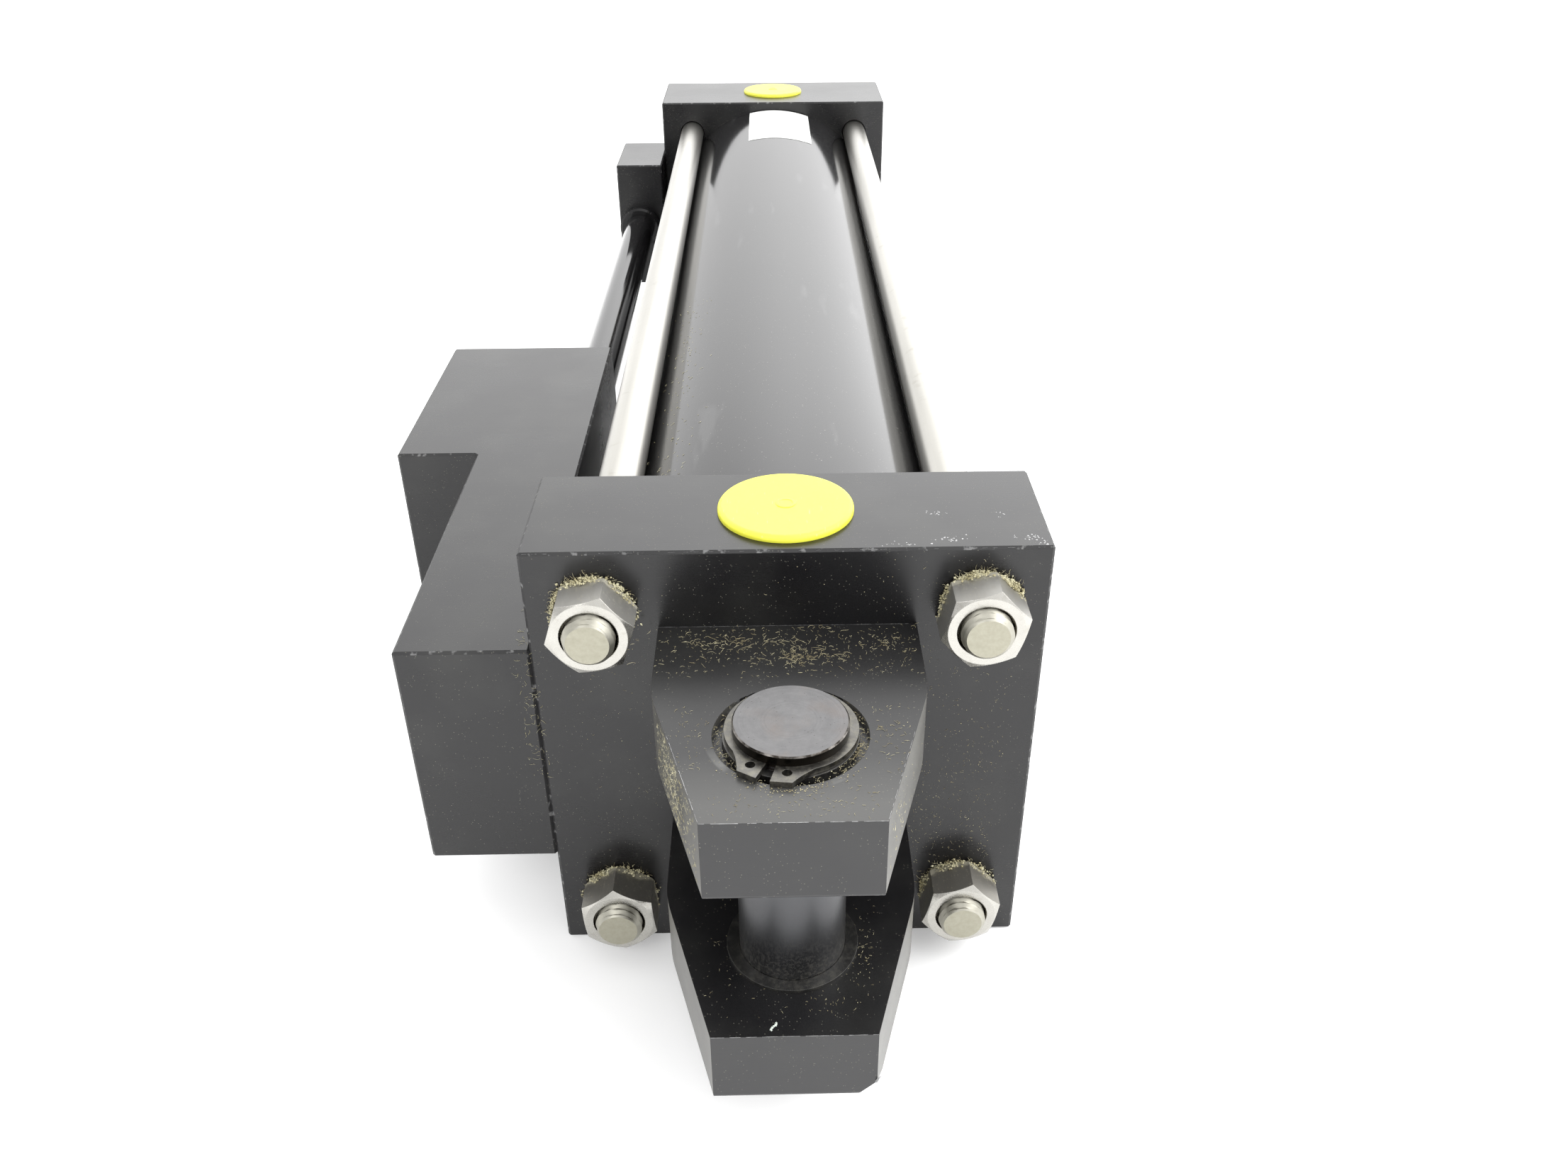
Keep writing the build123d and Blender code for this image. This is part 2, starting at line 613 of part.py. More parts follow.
def gland():
    """The bronze rod bearing, with grooves for the rod seal, the wiper and an outer O-ring."""
    body = bar_y(GLAND_R, GLAND_START, GLAND_END)
    body += bar_y(GLAND_FLANGE_R, HEAD_FAR - GLAND_FLANGE, HEAD_FAR)
    body = chamfer(body.edges().filter_by(GeomType.CIRCLE).group_by(Axis.Y)[-1], GLAND_CHAMFER)
    body -= bar_y(ROD_R + FIT_GAP, GLAND_START - 1, GLAND_END + 1)
    for start, end, floor in gland_grooves():
        body -= bar_y(floor, start, end)
    start, end = [GLAND_START + depth for depth in GLAND_SEAL_GROOVE]
    floor = bar_y(GLAND_R - GLAND_SEAL_GROOVE_DEPTH, start - 1, end + 1)
    return body - (bar_y(GLAND_R + 1, start, end) - floor)


def gland_grooves():
    """Start, end and floor radius of the rod seal and wiper grooves."""
    seal_start, seal_end = ROD_SEAL
    wiper_end, wiper_start = WIPER_FROM_END
    return [(GLAND_START + seal_start, GLAND_START + seal_end, ROD_SEAL_R),
            (GLAND_END - wiper_start, GLAND_END - wiper_end, WIPER_R)]


def gland_ring(index):
    start, end, floor = gland_grooves()[index]
    outer = bar_y(floor - REST_GAP, start + REST_GAP, end - REST_GAP)
    return outer - bar_y(ROD_R + FIT_GAP, start - 1, end + 1)


def gland_seal():
    return o_ring_y(GLAND_R - GLAND_SEAL_WIRE, GLAND_SEAL_WIRE, GLAND_START + sum(GLAND_SEAL_GROOVE) / 2)


def retainer_screw_places():
    quarter = [0, 90, 180, 270]
    return [(RETAINER_SCREW_CIRCLE_R * math.cos(math.radians(a)),
             RETAINER_SCREW_CIRCLE_R * math.sin(math.radians(a))) for a in quarter]


def gland_retainer():
    body = bar_y(RETAINER_R, HEAD_FAR, RETAINER_END)
    body = chamfer(body.edges().filter_by(GeomType.CIRCLE).group_by(Axis.Y)[-1], RETAINER_CHAMFER)
    body -= bar_y(GLAND_R + FIT_GAP, HEAD_FAR - 1, RETAINER_END + 1)
    for x, z in retainer_screw_places():
        body -= bar_y(SCREW_HOLE_R, HEAD_FAR - 1, RETAINER_END + 1, x, z)
        body -= bar_y(COUNTERBORE_R, RETAINER_END - COUNTERBORE, RETAINER_END + 1, x, z)
    return body


def retainer_screws():
    seat = RETAINER_END - COUNTERBORE
    screw = Rot(-90, 0, 0) * socket_screw(seat - HEAD_FAR + RETAINER_SCREW_GRIP)
    return group([Pos(x, seat, z) * screw for x, z in retainer_screw_places()])


def manifold_screw_places():
    return [(CAP_PORT_Y + j * MANIFOLD_SCREW_Y, z) for j in (-1, 1) for z in MANIFOLD_SCREW_Z]


def block_screw_heights():
    return [MANIFOLD_MID + k * BLOCK_SCREW_Z for k in (-1, 1)]


def side_screw_hole(left, y, z):
    """A counterbored hole through a side block, its head on the block's left face."""
    hole = bar_x(SCREW_HOLE_R, left - 1, -HALF + 1, y, z)
    return hole + bar_x(COUNTERBORE_R, left - 1, left + COUNTERBORE, y, z)


def side_screws(left, places):
    seat = left + COUNTERBORE
    screw = Rot(0, -90, 0) * socket_screw(-HALF - seat + SCREW_GRIP)
    return group([Pos(seat, y, z) * screw for y, z in places])


def face_groove(y, z):
    """The groove for a face seal in a side block's right face."""
    start, end = -HALF - FACE_GROOVE_DEPTH, -HALF + 1
    ring = bar_x(FACE_SEAL_R + FACE_GROOVE_HALF, start, end, y, z)
    return ring - bar_x(FACE_SEAL_R - FACE_GROOVE_HALF, start - 1, end + 1, y, z)


def face_seal(y, z):
    return o_ring_x(FACE_SEAL_R, FACE_SEAL_WIRE, -HALF - FACE_SEAL_DEPTH, y, z)


def tube_socket(face_y, direction):
    """The hole that takes one end of the transfer tube, with its collar's thread and seal groove."""
    outward = face_y - direction
    floor = face_y + direction * TUBE_SOCKET
    socket = bar_y(TUBE_R + FIT_GAP, *sorted((outward, floor)), TUBE_X, MANIFOLD_MID)
    seal = sorted(face_y + direction * depth for depth in TUBE_GROOVE)
    return socket + bar_y(TUBE_R + TUBE_GROOVE_DEPTH, *seal, TUBE_X, MANIFOLD_MID)


def tube_seal(face_y, direction):
    middle = face_y + direction * TUBE_SEAL_MIDDLE
    return o_ring_y(TUBE_R + TUBE_SEAL_OUT, TUBE_SEAL_WIRE, middle, TUBE_X, MANIFOLD_MID)


def tube_collar(face_y, direction):
    """A round collar that keeps the tube's end in its block."""
    near = face_y - direction * COLLAR
    points = [(TUBE_R + FIT_GAP, face_y), (COLLAR_R, face_y), (COLLAR_R, near + direction * COLLAR_CHAMFER),
              (COLLAR_R - COLLAR_CHAMFER, near), (TUBE_R + FIT_GAP, near)]
    return turned_y(points, TUBE_X, MANIFOLD_MID)


def transfer_tube():
    start = MANIFOLD_END - TUBE_SOCKET + 1
    end = BLOCK_START + TUBE_SOCKET - 1
    outer = bar_y(TUBE_R, start, end, TUBE_X, MANIFOLD_MID)
    return outer - bar_y(TUBE_BORE_R, start - 1, end + 1, TUBE_X, MANIFOLD_MID)


def manifold_body():
    """The L-shaped bar: thin where it meets the cap, thick under the valve pad."""
    thin = block((MANIFOLD_LEFT, -HALF), (CAP_FRONT, MANIFOLD_END), (MANIFOLD_LOW, MANIFOLD_HIGH))
    thick = block((PAD_X, -HALF), (PAD_START, MANIFOLD_END), (MANIFOLD_LOW, MANIFOLD_HIGH))
    return broken_edges(thin + thick)


def valve_hole(place, depth_x):
    y, z = place
    return bar_x(VALVE_PORT_R, PAD_X - 1, depth_x, PAD_MID + y, MANIFOLD_MID + z)


def valve_screw_places():
    """Four screw holes; the far upper one stands a little high so that a valve fits one way."""
    return [(-VALVE_SCREW_Y, VALVE_SCREW_LOW), (VALVE_SCREW_Y, VALVE_SCREW_LOW),
            (-VALVE_SCREW_Y, VALVE_SCREW_HIGH_NEAR), (VALVE_SCREW_Y, VALVE_SCREW_HIGH_FAR)]


def manifold_block():
    """The manifold with its valve pad, service ports and drillings."""
    body = manifold_body()
    for y, z in manifold_screw_places():
        body -= side_screw_hole(MANIFOLD_LEFT, y, z)
    for y, z in valve_screw_places():
        body -= bar_x(VALVE_SCREW_R, PAD_X - 1, PAD_X + VALVE_SCREW_DEPTH, PAD_MID + y, MANIFOLD_MID + z)
    body -= valve_hole(VALVE_P, PRESSURE_X)
    body -= valve_hole(VALVE_T, TANK_X)
    body -= valve_hole(VALVE_A, BORE_LINE_X)
    body -= valve_hole(VALVE_B, TUBE_X)
    body -= cap_line()
    body -= head_line()
    body -= pressure_port()
    body -= tank_port()
    body -= face_groove(CAP_PORT_Y, SIDE_PORT_Z)
    return body


def cap_line():
    """Drillings from valve hole A to the cap, with the seats of their two plugs."""
    y = PAD_MID + VALVE_A[0]
    along = bar_y(BORE_LINE_R, CAP_PORT_Y, MANIFOLD_END, BORE_LINE_X, SIDE_PORT_Z)
    along += bar_y(BORE_PLUG_R, MANIFOLD_END - BORE_PLUG_LENGTH, MANIFOLD_END + 1, BORE_LINE_X, SIDE_PORT_Z)
    up = bar_z(BORE_LINE_R, MANIFOLD_LOW, MANIFOLD_MID, BORE_LINE_X, y)
    up += bar_z(BORE_PLUG_R, MANIFOLD_LOW - 1, MANIFOLD_LOW + BORE_PLUG_LENGTH, BORE_LINE_X, y)
    across = bar_x(SIDE_PORT_R, BORE_LINE_X, -HALF + 1, CAP_PORT_Y, SIDE_PORT_Z)
    return along + up + across


def head_line():
    """The drilling from valve hole B to the transfer tube."""
    start = PAD_MID + VALVE_B[0]
    drill = bar_y(TUBE_BORE_R, start, MANIFOLD_END, TUBE_X, MANIFOLD_MID)
    return drill + tube_socket(MANIFOLD_END, -1)


def pressure_port():
    """The pressure port in the manifold's far end."""
    z = MANIFOLD_MID + VALVE_P[1]
    mouth = bar_y(SERVICE_PORT_R, MANIFOLD_END - SERVICE_PORT_DEPTH, MANIFOLD_END + 1, PRESSURE_X, z)
    return mouth + bar_y(VALVE_PORT_R, PAD_MID + VALVE_P[0], MANIFOLD_END, PRESSURE_X, z)


def tank_port():
    """The tank port in the manifold's underside."""
    y = PAD_MID + VALVE_T[0]
    mouth = bar_z(SERVICE_PORT_R, MANIFOLD_LOW - 1, MANIFOLD_LOW + SERVICE_PORT_DEPTH, TANK_X, y)
    return mouth + bar_z(VALVE_PORT_R, MANIFOLD_LOW, MANIFOLD_MID + VALVE_T[1], TANK_X, y)


def passage_plugs():
    """Socket plugs that close the two blind ends of the cap line."""
    radius = BORE_PLUG_R - REST_GAP
    socket = extrude(RegularPolygon(BORE_PLUG_SOCKET / 2, 6, major_radius=False), BORE_PLUG_SOCKET_DEPTH)
    plug = bar_z(radius, 0, BORE_PLUG_LENGTH) - socket
    end_plug = Pos(BORE_LINE_X, MANIFOLD_END, SIDE_PORT_Z) * Rot(90, 0, 0) * plug
    low_plug = Pos(BORE_LINE_X, PAD_MID + VALVE_A[0], MANIFOLD_LOW) * plug
    return group([end_plug, low_plug])


def transfer_block():
    """The block on the head that turns the tube's flow into the head's side port."""
    body = broken_edges(block((BLOCK_LEFT, -HALF), (BLOCK_START, BLOCK_END), (MANIFOLD_LOW, MANIFOLD_HIGH)))
    body -= tube_socket(BLOCK_START, 1)
    body -= bar_y(TUBE_BORE_R, BLOCK_START, BLOCK_PORT_Y, TUBE_X, MANIFOLD_MID)
    body -= bar_x(SIDE_PORT_R, TUBE_X, -HALF + 1, BLOCK_PORT_Y, MANIFOLD_MID)
    body -= face_groove(BLOCK_PORT_Y, MANIFOLD_MID)
    for z in block_screw_heights():
        body -= side_screw_hole(BLOCK_LEFT, BLOCK_PORT_Y, z)
    return body


def parts():
    """Every node's name and shape."""
    named = {
        "end_cap": end_cap(),
        "rod_head": rod_head(),
        "barrel": barrel(),
        "cap_barrel_seal": barrel_seal(CAP_BACK, 1),
        "head_barrel_seal": barrel_seal(HEAD_NEAR, -1),
        "blank_label": label(),
        "cap_end_nuts": nuts(CAP_FRONT - NUT_HEIGHT),
        "head_end_nuts": nuts(HEAD_FAR),
        "clevis_ear_upper": upper_ear(),
        "clevis_ear_lower": lower_ear(),
        "clevis_ear_screws": ear_screws(),
        "ear_bush_upper": ear_bush(1),
        "ear_bush_lower": ear_bush(-1),
        "pivot_pin": pivot_pin(),
        "retaining_ring_upper": upper_ring(),
        "retaining_ring_lower": lower_ring(),
        "cap_port_plug": port_plug(CAP_PORT_Y),
        "head_port_plug": port_plug(HEAD_PORT_Y),
        "piston": piston(),
        "piston_seal_cap_side": piston_seal(0, -1),
        "piston_wear_band": piston_ring(1),
        "piston_seal_rod_side": piston_seal(2, 1),
        "piston_nut": piston_nut(),
        "piston_rod": piston_rod(),
        "piston_rod_seal": rod_seal_ring(),
        "rod_gland": gland(),
        "gland_seal": gland_seal(),
        "rod_seal": gland_ring(0),
        "rod_wiper": gland_ring(1),
        "gland_retainer": gland_retainer(),
        "gland_retainer_screws": retainer_screws(),
        "manifold_block": manifold_block(),
        "manifold_screws": side_screws(MANIFOLD_LEFT, manifold_screw_places()),
        "manifold_face_seal": face_seal(CAP_PORT_Y, SIDE_PORT_Z),
        "manifold_passage_plugs": passage_plugs(),
        "transfer_tube": transfer_tube(),
        "transfer_tube_seal_near": tube_seal(MANIFOLD_END, -1),
        "transfer_tube_seal_far": tube_seal(BLOCK_START, 1),
        "transfer_tube_collar_near": tube_collar(MANIFOLD_END, -1),
        "transfer_tube_collar_far": tube_collar(BLOCK_START, 1),
        "transfer_block": transfer_block(),
        "transfer_block_screws": side_screws(BLOCK_LEFT, [(BLOCK_PORT_Y, z) for z in block_screw_heights()]),
        "transfer_block_seal": face_seal(BLOCK_PORT_Y, MANIFOLD_MID),
    }
    for i, k in TIE_CORNERS:
        row, side = {1: "upper", -1: "lower"}[k], {1: "right", -1: "left"}[i]
        named[f"tie_rod_{row}_{side}"] = tie_rod(i, k)
    return named


os.makedirs("parts", exist_ok=True)
for name, shape in parts().items():
    export_step(shape, f"parts/{name}.step")
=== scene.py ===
import bpy
import json
import math
import random
from mathutils import Matrix, Vector


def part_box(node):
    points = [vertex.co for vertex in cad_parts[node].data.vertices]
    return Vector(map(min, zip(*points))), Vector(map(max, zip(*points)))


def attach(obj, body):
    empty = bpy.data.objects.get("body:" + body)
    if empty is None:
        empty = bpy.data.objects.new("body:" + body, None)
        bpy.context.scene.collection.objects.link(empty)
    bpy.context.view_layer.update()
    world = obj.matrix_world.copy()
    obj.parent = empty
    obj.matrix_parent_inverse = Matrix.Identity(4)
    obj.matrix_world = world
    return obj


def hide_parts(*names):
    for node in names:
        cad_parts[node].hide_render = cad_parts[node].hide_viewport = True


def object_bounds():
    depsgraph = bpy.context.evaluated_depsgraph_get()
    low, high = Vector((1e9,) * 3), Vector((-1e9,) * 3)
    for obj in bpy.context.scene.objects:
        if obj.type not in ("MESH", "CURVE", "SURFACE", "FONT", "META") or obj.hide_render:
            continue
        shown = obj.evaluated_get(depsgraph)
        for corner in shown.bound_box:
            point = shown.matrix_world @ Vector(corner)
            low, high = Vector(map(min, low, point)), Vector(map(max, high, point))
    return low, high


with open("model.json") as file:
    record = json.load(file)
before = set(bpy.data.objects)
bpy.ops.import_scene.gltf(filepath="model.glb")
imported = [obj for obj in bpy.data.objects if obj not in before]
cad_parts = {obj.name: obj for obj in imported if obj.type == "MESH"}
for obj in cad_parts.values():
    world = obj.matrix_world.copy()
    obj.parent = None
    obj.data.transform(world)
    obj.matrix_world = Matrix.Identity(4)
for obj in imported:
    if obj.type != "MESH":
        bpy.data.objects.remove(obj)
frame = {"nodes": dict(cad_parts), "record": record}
CAD_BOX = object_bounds()

# A tie-rod cylinder in black anodised aluminium with bright stainless tie rods, in metres. +Y
# runs from the clevis to the rod end, +Z is the side of the two plugged ports.
MM = 0.001
RECORD = frame["record"]
ROOT = "cylinder"

# Planes and lines of the CAD that the looks are placed by
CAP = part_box("end_cap")
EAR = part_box("clevis_ear_upper")
LOW_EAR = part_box("clevis_ear_lower")
CAP_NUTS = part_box("cap_end_nuts")
HEAD_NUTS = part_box("head_end_nuts")
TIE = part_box("tie_rod_upper_right")
CAP_FRONT, CAP_TOP, CAP_SIDE = CAP[0].y, CAP[1].z, CAP[1].x
EAR_TOP, EAR_NOSE = EAR[1].z, EAR[0].y
TIE_OFFSET = (TIE[0].x + TIE[1].x) / 2

# The camera looks down the cylinder from in front of the clevis
CAMERA_PLACE = (-0.00223, -0.16283, 0.16077)
CAMERA_AZIMUTH = -1.16
CAMERA_ELEVATION = 32.11
CAMERA_ROLL = -0.23
CAMERA_LENS = 29.34
CAMERA_SHIFT = (-0.0082, 0.0034)

# The surround's strength by direction: from, to, and the level at each; then the floor's own
SKY_BACK = (-0.5, 0.6, 1.5, 3.5)
SKY_SIDE = (-0.42, 0.10, 0.58, 0.95)
SKY_FAR = (0.90, 1.01, 1.0, 0.5)
SKY_HIGH = (0.45, 1.0, 1.0, 0.8)
FLOOR_GLOW = 0.25
FLOOR_REACH = 6.0

# Threads: the 3/8-16 tie rods and the 3/4-16 rod end have one pitch; RINGS and STEPS divide a turn
THREAD_PITCH = 25.4 * MM / 16
THREAD_DEPTH = 0.45 * THREAD_PITCH
THREAD_FADE = 1.5 * THREAD_PITCH
THREAD_RINGS = 10
ROUND_STEPS = 96
TIE_THREAD_LENGTH = 15.0 * MM
TIE_END_CHAMFER = 0.9 * MM
ROD_END_CHAMFER = 1.2 * MM
ROD_SHOULDER_CHAMFER = 1.5 * MM
ROD_THREAD_LENGTH = 28.6 * MM
ROD_FLATS = 22.2 * MM
ROD_FLATS_LENGTH = 12.7 * MM
ROD_THREAD_R = 9.525 * MM

# Where dust and wear lie on the clevis
BUSH_R = 11.1 * MM
RECESS_R = 12.8 * MM
RECESS_DEPTH = 1.6 * MM
EAR_HALF_ROOT = (EAR[1].x - EAR[0].x) / 2
EAR_HALF_NOSE = 14.2 * MM
EAR_SHOULDER_Y = 11.5 * MM
NUT_SINK_R = 5.3 * MM
UP = Vector((0, 0, 1))

# Debris: ranges of width, length and size are in millimetres
FINE_FIBRE = (0.04, 0.075)
FIBRE = (0.045, 0.085)
COARSE_FIBRE = (0.05, 0.09)
FIBRE_CURL = 0.28
FIBRE_STEP = 0.35 * MM
BURR_STEP = 0.45 * MM
SHARP_ANGLE = math.radians(32)
RANDOM_SEED = 7

# The ring that a mould's gate leaves on a plug: height and radius along its section, in millimetres
GATE_SECTION = ((0.0, 1.9), (0.10, 1.9), (0.16, 1.7), (0.16, 1.35), (0.05, 1.2), (0.05, 0.1))

# Colours of dry dust and of bare aluminium where it is worn
DUST_COLOUR = (0.30, 0.28, 0.20)
WORN_COLOUR = (0.24, 0.24, 0.24)


class Nodes:
    """An emptied node tree, with short calls for the nodes that materials and world share."""

    def __init__(self, tree):
        self.tree = tree
        tree.nodes.clear()

    def put(self, socket, value):
        if isinstance(value, bpy.types.NodeSocket):
            self.tree.links.new(value, socket)
        elif isinstance(value, (tuple, list)) and len(socket.default_value) == 4:
            socket.default_value = (*value[:3], 1.0)
        else:
            socket.default_value = value

    def math(self, operation, a, b=None, clamp=False):
        node = self.tree.nodes.new("ShaderNodeMath")
        node.operation = operation
        node.use_clamp = clamp
        self.put(node.inputs[0], a)
        if b is not None:
            self.put(node.inputs[1], b)
        return node.outputs[0]

    def parts(self, vector):
        node = self.tree.nodes.new("ShaderNodeSeparateXYZ")
        self.tree.links.new(vector, node.inputs[0])
        return node.outputs

    def remap(self, value, low, high, to_low=0.0, to_high=1.0, smooth=False):
        node = self.tree.nodes.new("ShaderNodeMapRange")
        node.interpolation_type = "SMOOTHSTEP" if smooth else "LINEAR"
        self.put(node.inputs["Value"], value)
        node.inputs["From Min"].default_value = low
        node.inputs["From Max"].default_value = high
        node.inputs["To Min"].default_value = to_low
        node.inputs["To Max"].default_value = to_high
        return node.outputs["Result"]


class Graph(Nodes):
    """A material's node tree, with short calls for what only materials use."""

    def __init__(self, name):
        self.material = bpy.data.materials.new(name)
        self.material.use_nodes = True
        super().__init__(self.material.node_tree)
        output = self.tree.nodes.new("ShaderNodeOutputMaterial")
        self.shader = self.tree.nodes.new("ShaderNodeBsdfPrincipled")
        self.tree.links.new(self.shader.outputs[0], output.inputs["Surface"])
        self.place = self.tree.nodes.new("ShaderNodeTexCoord").outputs["Object"]
        self.normal = self.tree.nodes.new("ShaderNodeNewGeometry").outputs["True Normal"]

    def stretched(self, scale, shift=(0, 0, 0)):
        node = self.tree.nodes.new("ShaderNodeMapping")
        self.tree.links.new(self.place, node.inputs["Vector"])
        node.inputs["Scale"].default_value = scale
        node.inputs["Location"].default_value = shift
        return node.outputs[0]

    def noise(self, scale, detail=2.0, stretch=(1, 1, 1), shift=(0, 0, 0), rough=0.5):
        node = self.tree.nodes.new("ShaderNodeTexNoise")
        self.tree.links.new(self.stretched(stretch, shift), node.inputs["Vector"])
        node.inputs["Scale"].default_value = scale
        node.inputs["Detail"].default_value = detail
        node.inputs["Roughness"].default_value = rough
        return node.outputs["Fac"]

    def cells(self, scale, shift=(0, 0, 0)):
        """Distance to the nearest of many scattered points, in cell widths."""
        node = self.tree.nodes.new("ShaderNodeTexVoronoi")
        self.tree.links.new(self.stretched((1, 1, 1), shift), node.inputs["Vector"])
        node.inputs["Scale"].default_value = scale
        return node.outputs["Distance"]

    def rings(self, radius, scale):
        """Noise that changes only with a distance."""
        node = self.tree.nodes.new("ShaderNodeTexNoise")
        node.noise_dimensions = "1D"
        node.inputs["Scale"].default_value = scale
        node.inputs["Detail"].default_value = 2.0
        self.put(node.inputs["W"], radius)
        return node.outputs["Fac"]

    def mix(self, factor, a, b):
        """A colour between a and b."""
        node = self.tree.nodes.new("ShaderNodeMix")
        node.data_type = "RGBA"
        self.put(node.inputs["Factor"], factor)
        self.put(node.inputs["A"], a)
        self.put(node.inputs["B"], b)
        return node.outputs["Result"]

    def blend(self, factor, a, b):
        """A number between a and b."""
        node = self.tree.nodes.new("ShaderNodeMix")
        self.put(node.inputs["Factor"], factor)
        self.put(node.inputs["A"], a)
        self.put(node.inputs["B"], b)
        return node.outputs["Result"]

    def bump(self, height, depth, normal=None):
        node = self.tree.nodes.new("ShaderNodeBump")
        node.inputs["Distance"].default_value = depth
        self.tree.links.new(height, node.inputs["Height"])
        if normal is not None:
            self.tree.links.new(normal, node.inputs["Normal"])
        return node.outputs[0]

    def soft_edge(self, radius):
        """A normal that rounds the edges in the shading only."""
        node = self.tree.nodes.new("ShaderNodeBevel")
        node.samples = 4
        node.inputs["Radius"].default_value = radius
        return node.outputs[0]

    def set(self, **values):
        """The material, with values or nodes put into the shader's inputs."""
        for name, value in values.items():
            self.put(self.shader.inputs[name.replace("_", " ")], value)
        return self.material


def corner_mask(graph):
    """1 on the narrow chamfers of a squared block, whose normals lean between two axes."""
    x, y, z = [graph.math("ABSOLUTE", part) for part in graph.parts(graph.normal)]
    most = graph.math("MAXIMUM", graph.math("MAXIMUM", x, y), z)
    return graph.math("LESS_THAN", most, 0.9)


def milled_lines(graph):
    """Fine tool marks: along X on the faces that look along Y or Z, along Y on the others."""
    across = graph.noise(1.0, 3.0, (45, 2600, 2600))
    along = graph.noise(1.0, 3.0, (2600, 45, 2600), (3, 1, 7))
    side = graph.math("ABSOLUTE", graph.parts(graph.normal)[0])
    return graph.blend(graph.math("GREATER_THAN", side, 0.7), across, along)


def specks(graph, scale, size, amount, shift=(0, 0, 0)):
    """Small scattered dots; amount is the share of the cells that has one."""
    near = graph.math("LESS_THAN", graph.cells(scale, shift), size)
    chosen = graph.math("GREATER_THAN", graph.noise(scale * 0.21, 1.0, shift=shift), 1.0 - amount)
    return graph.math("MULTIPLY", near, chosen)


def band(graph, value, low, high, soft):
    """1 where a value lies between low and high, with soft ends."""
    rise = graph.remap(value, low - soft, low + soft)
    fall = graph.remap(value, high - soft, high + soft, 1.0, 0.0)
    return graph.math("MULTIPLY", rise, fall)


def length_of(graph, a, b):
    """The long side of a right triangle."""
    return graph.math("SQRT", graph.math("ADD", graph.math("MULTIPLY", a, a), graph.math("MULTIPLY", b, b)))


def from_pin_axis(graph):
    """The distance from the pivot pin's axis."""
    x, y = graph.parts(graph.place)[:2]
    return length_of(graph, x, y)


def from_tie_axis(graph):
    """The distance from the nearest of the four tie rods' axes."""
    x, z = graph.parts(graph.place)[0], graph.parts(graph.place)[2]
    across = graph.math("SUBTRACT", graph.math("ABSOLUTE", x), TIE_OFFSET)
    up = graph.math("SUBTRACT", graph.math("ABSOLUTE", z), TIE_OFFSET)
    return length_of(graph, across, up)


def scuffed_ring(graph):
    """1 on the bright rub marks that the retaining ring has left on an ear round its recess."""
    height = graph.math("ABSOLUTE", graph.parts(graph.place)[2])
    outside = graph.math("GREATER_THAN", height, EAR_TOP - 0.2 * MM)
    ring = band(graph, from_pin_axis(graph), RECESS_R + 0.1 * MM, RECESS_R + 1.3 * MM, 0.15 * MM)
    rubbed = graph.remap(graph.noise(150, 3.0, shift=(3, 0, 2)), 0.50, 0.62)
    front = graph.remap(graph.parts(graph.place)[1], -3.0 * MM, -8.0 * MM)
    mark = graph.math("MULTIPLY", ring, rubbed)
    return graph.math("MULTIPLY", mark, graph.math("MULTIPLY", front, outside))


def ear_wear_and_painted_light(graph, colour):
    """The ears' marks over a colour: ring scuffs, which are wear; painted light that lifts the top, more
    towards its nose end, and the nose; and a patchy pale film on the sides, part dust and part painted
    light.
    """
    colour = graph.mix(graph.math("MULTIPLY", scuffed_ring(graph), 0.7), colour, (0.16, 0.16, 0.15))
    # Painted light: the whole top face a little lighter, and a strip of it by the nose end lighter still
    painted_nose_light = graph.remap(graph.parts(graph.place)[1], EAR_NOSE + 16.0 * MM, EAR_NOSE + 4.0 * MM)
    upper = graph.math("GREATER_THAN", graph.parts(graph.place)[2], EAR_TOP - 1.0 * MM)
    upper = graph.math("MULTIPLY", upper, graph.math("GREATER_THAN", graph.parts(graph.normal)[2], 0.7))
    painted_nose_light = graph.math("MULTIPLY", painted_nose_light, upper)
    colour = graph.mix(graph.math("MULTIPLY", upper, 0.25), colour, (0.030, 0.030, 0.029))
    colour = graph.mix(graph.math("MULTIPLY", painted_nose_light, 0.5), colour, (0.095, 0.094, 0.089))
    # Painted light: the nose face, which looks along -Y, lighter
    nose = graph.math("LESS_THAN", graph.parts(graph.normal)[1], -0.9)
    colour = graph.mix(graph.math("MULTIPLY", nose, 0.5), colour, (0.026, 0.026, 0.027))
    # The sides: a patchy pale film, part dust and part painted light that lifts them
    side = graph.math("GREATER_THAN", graph.math("ABSOLUTE", graph.parts(graph.normal)[0]), 0.7)
    patchy = graph.remap(graph.noise(90, 4.0, shift=(6, 1, 3)), 0.25, 0.7, 0.45, 1.0)
    return graph.mix(graph.math("MULTIPLY", side, patchy), colour, (0.098, 0.095, 0.084))


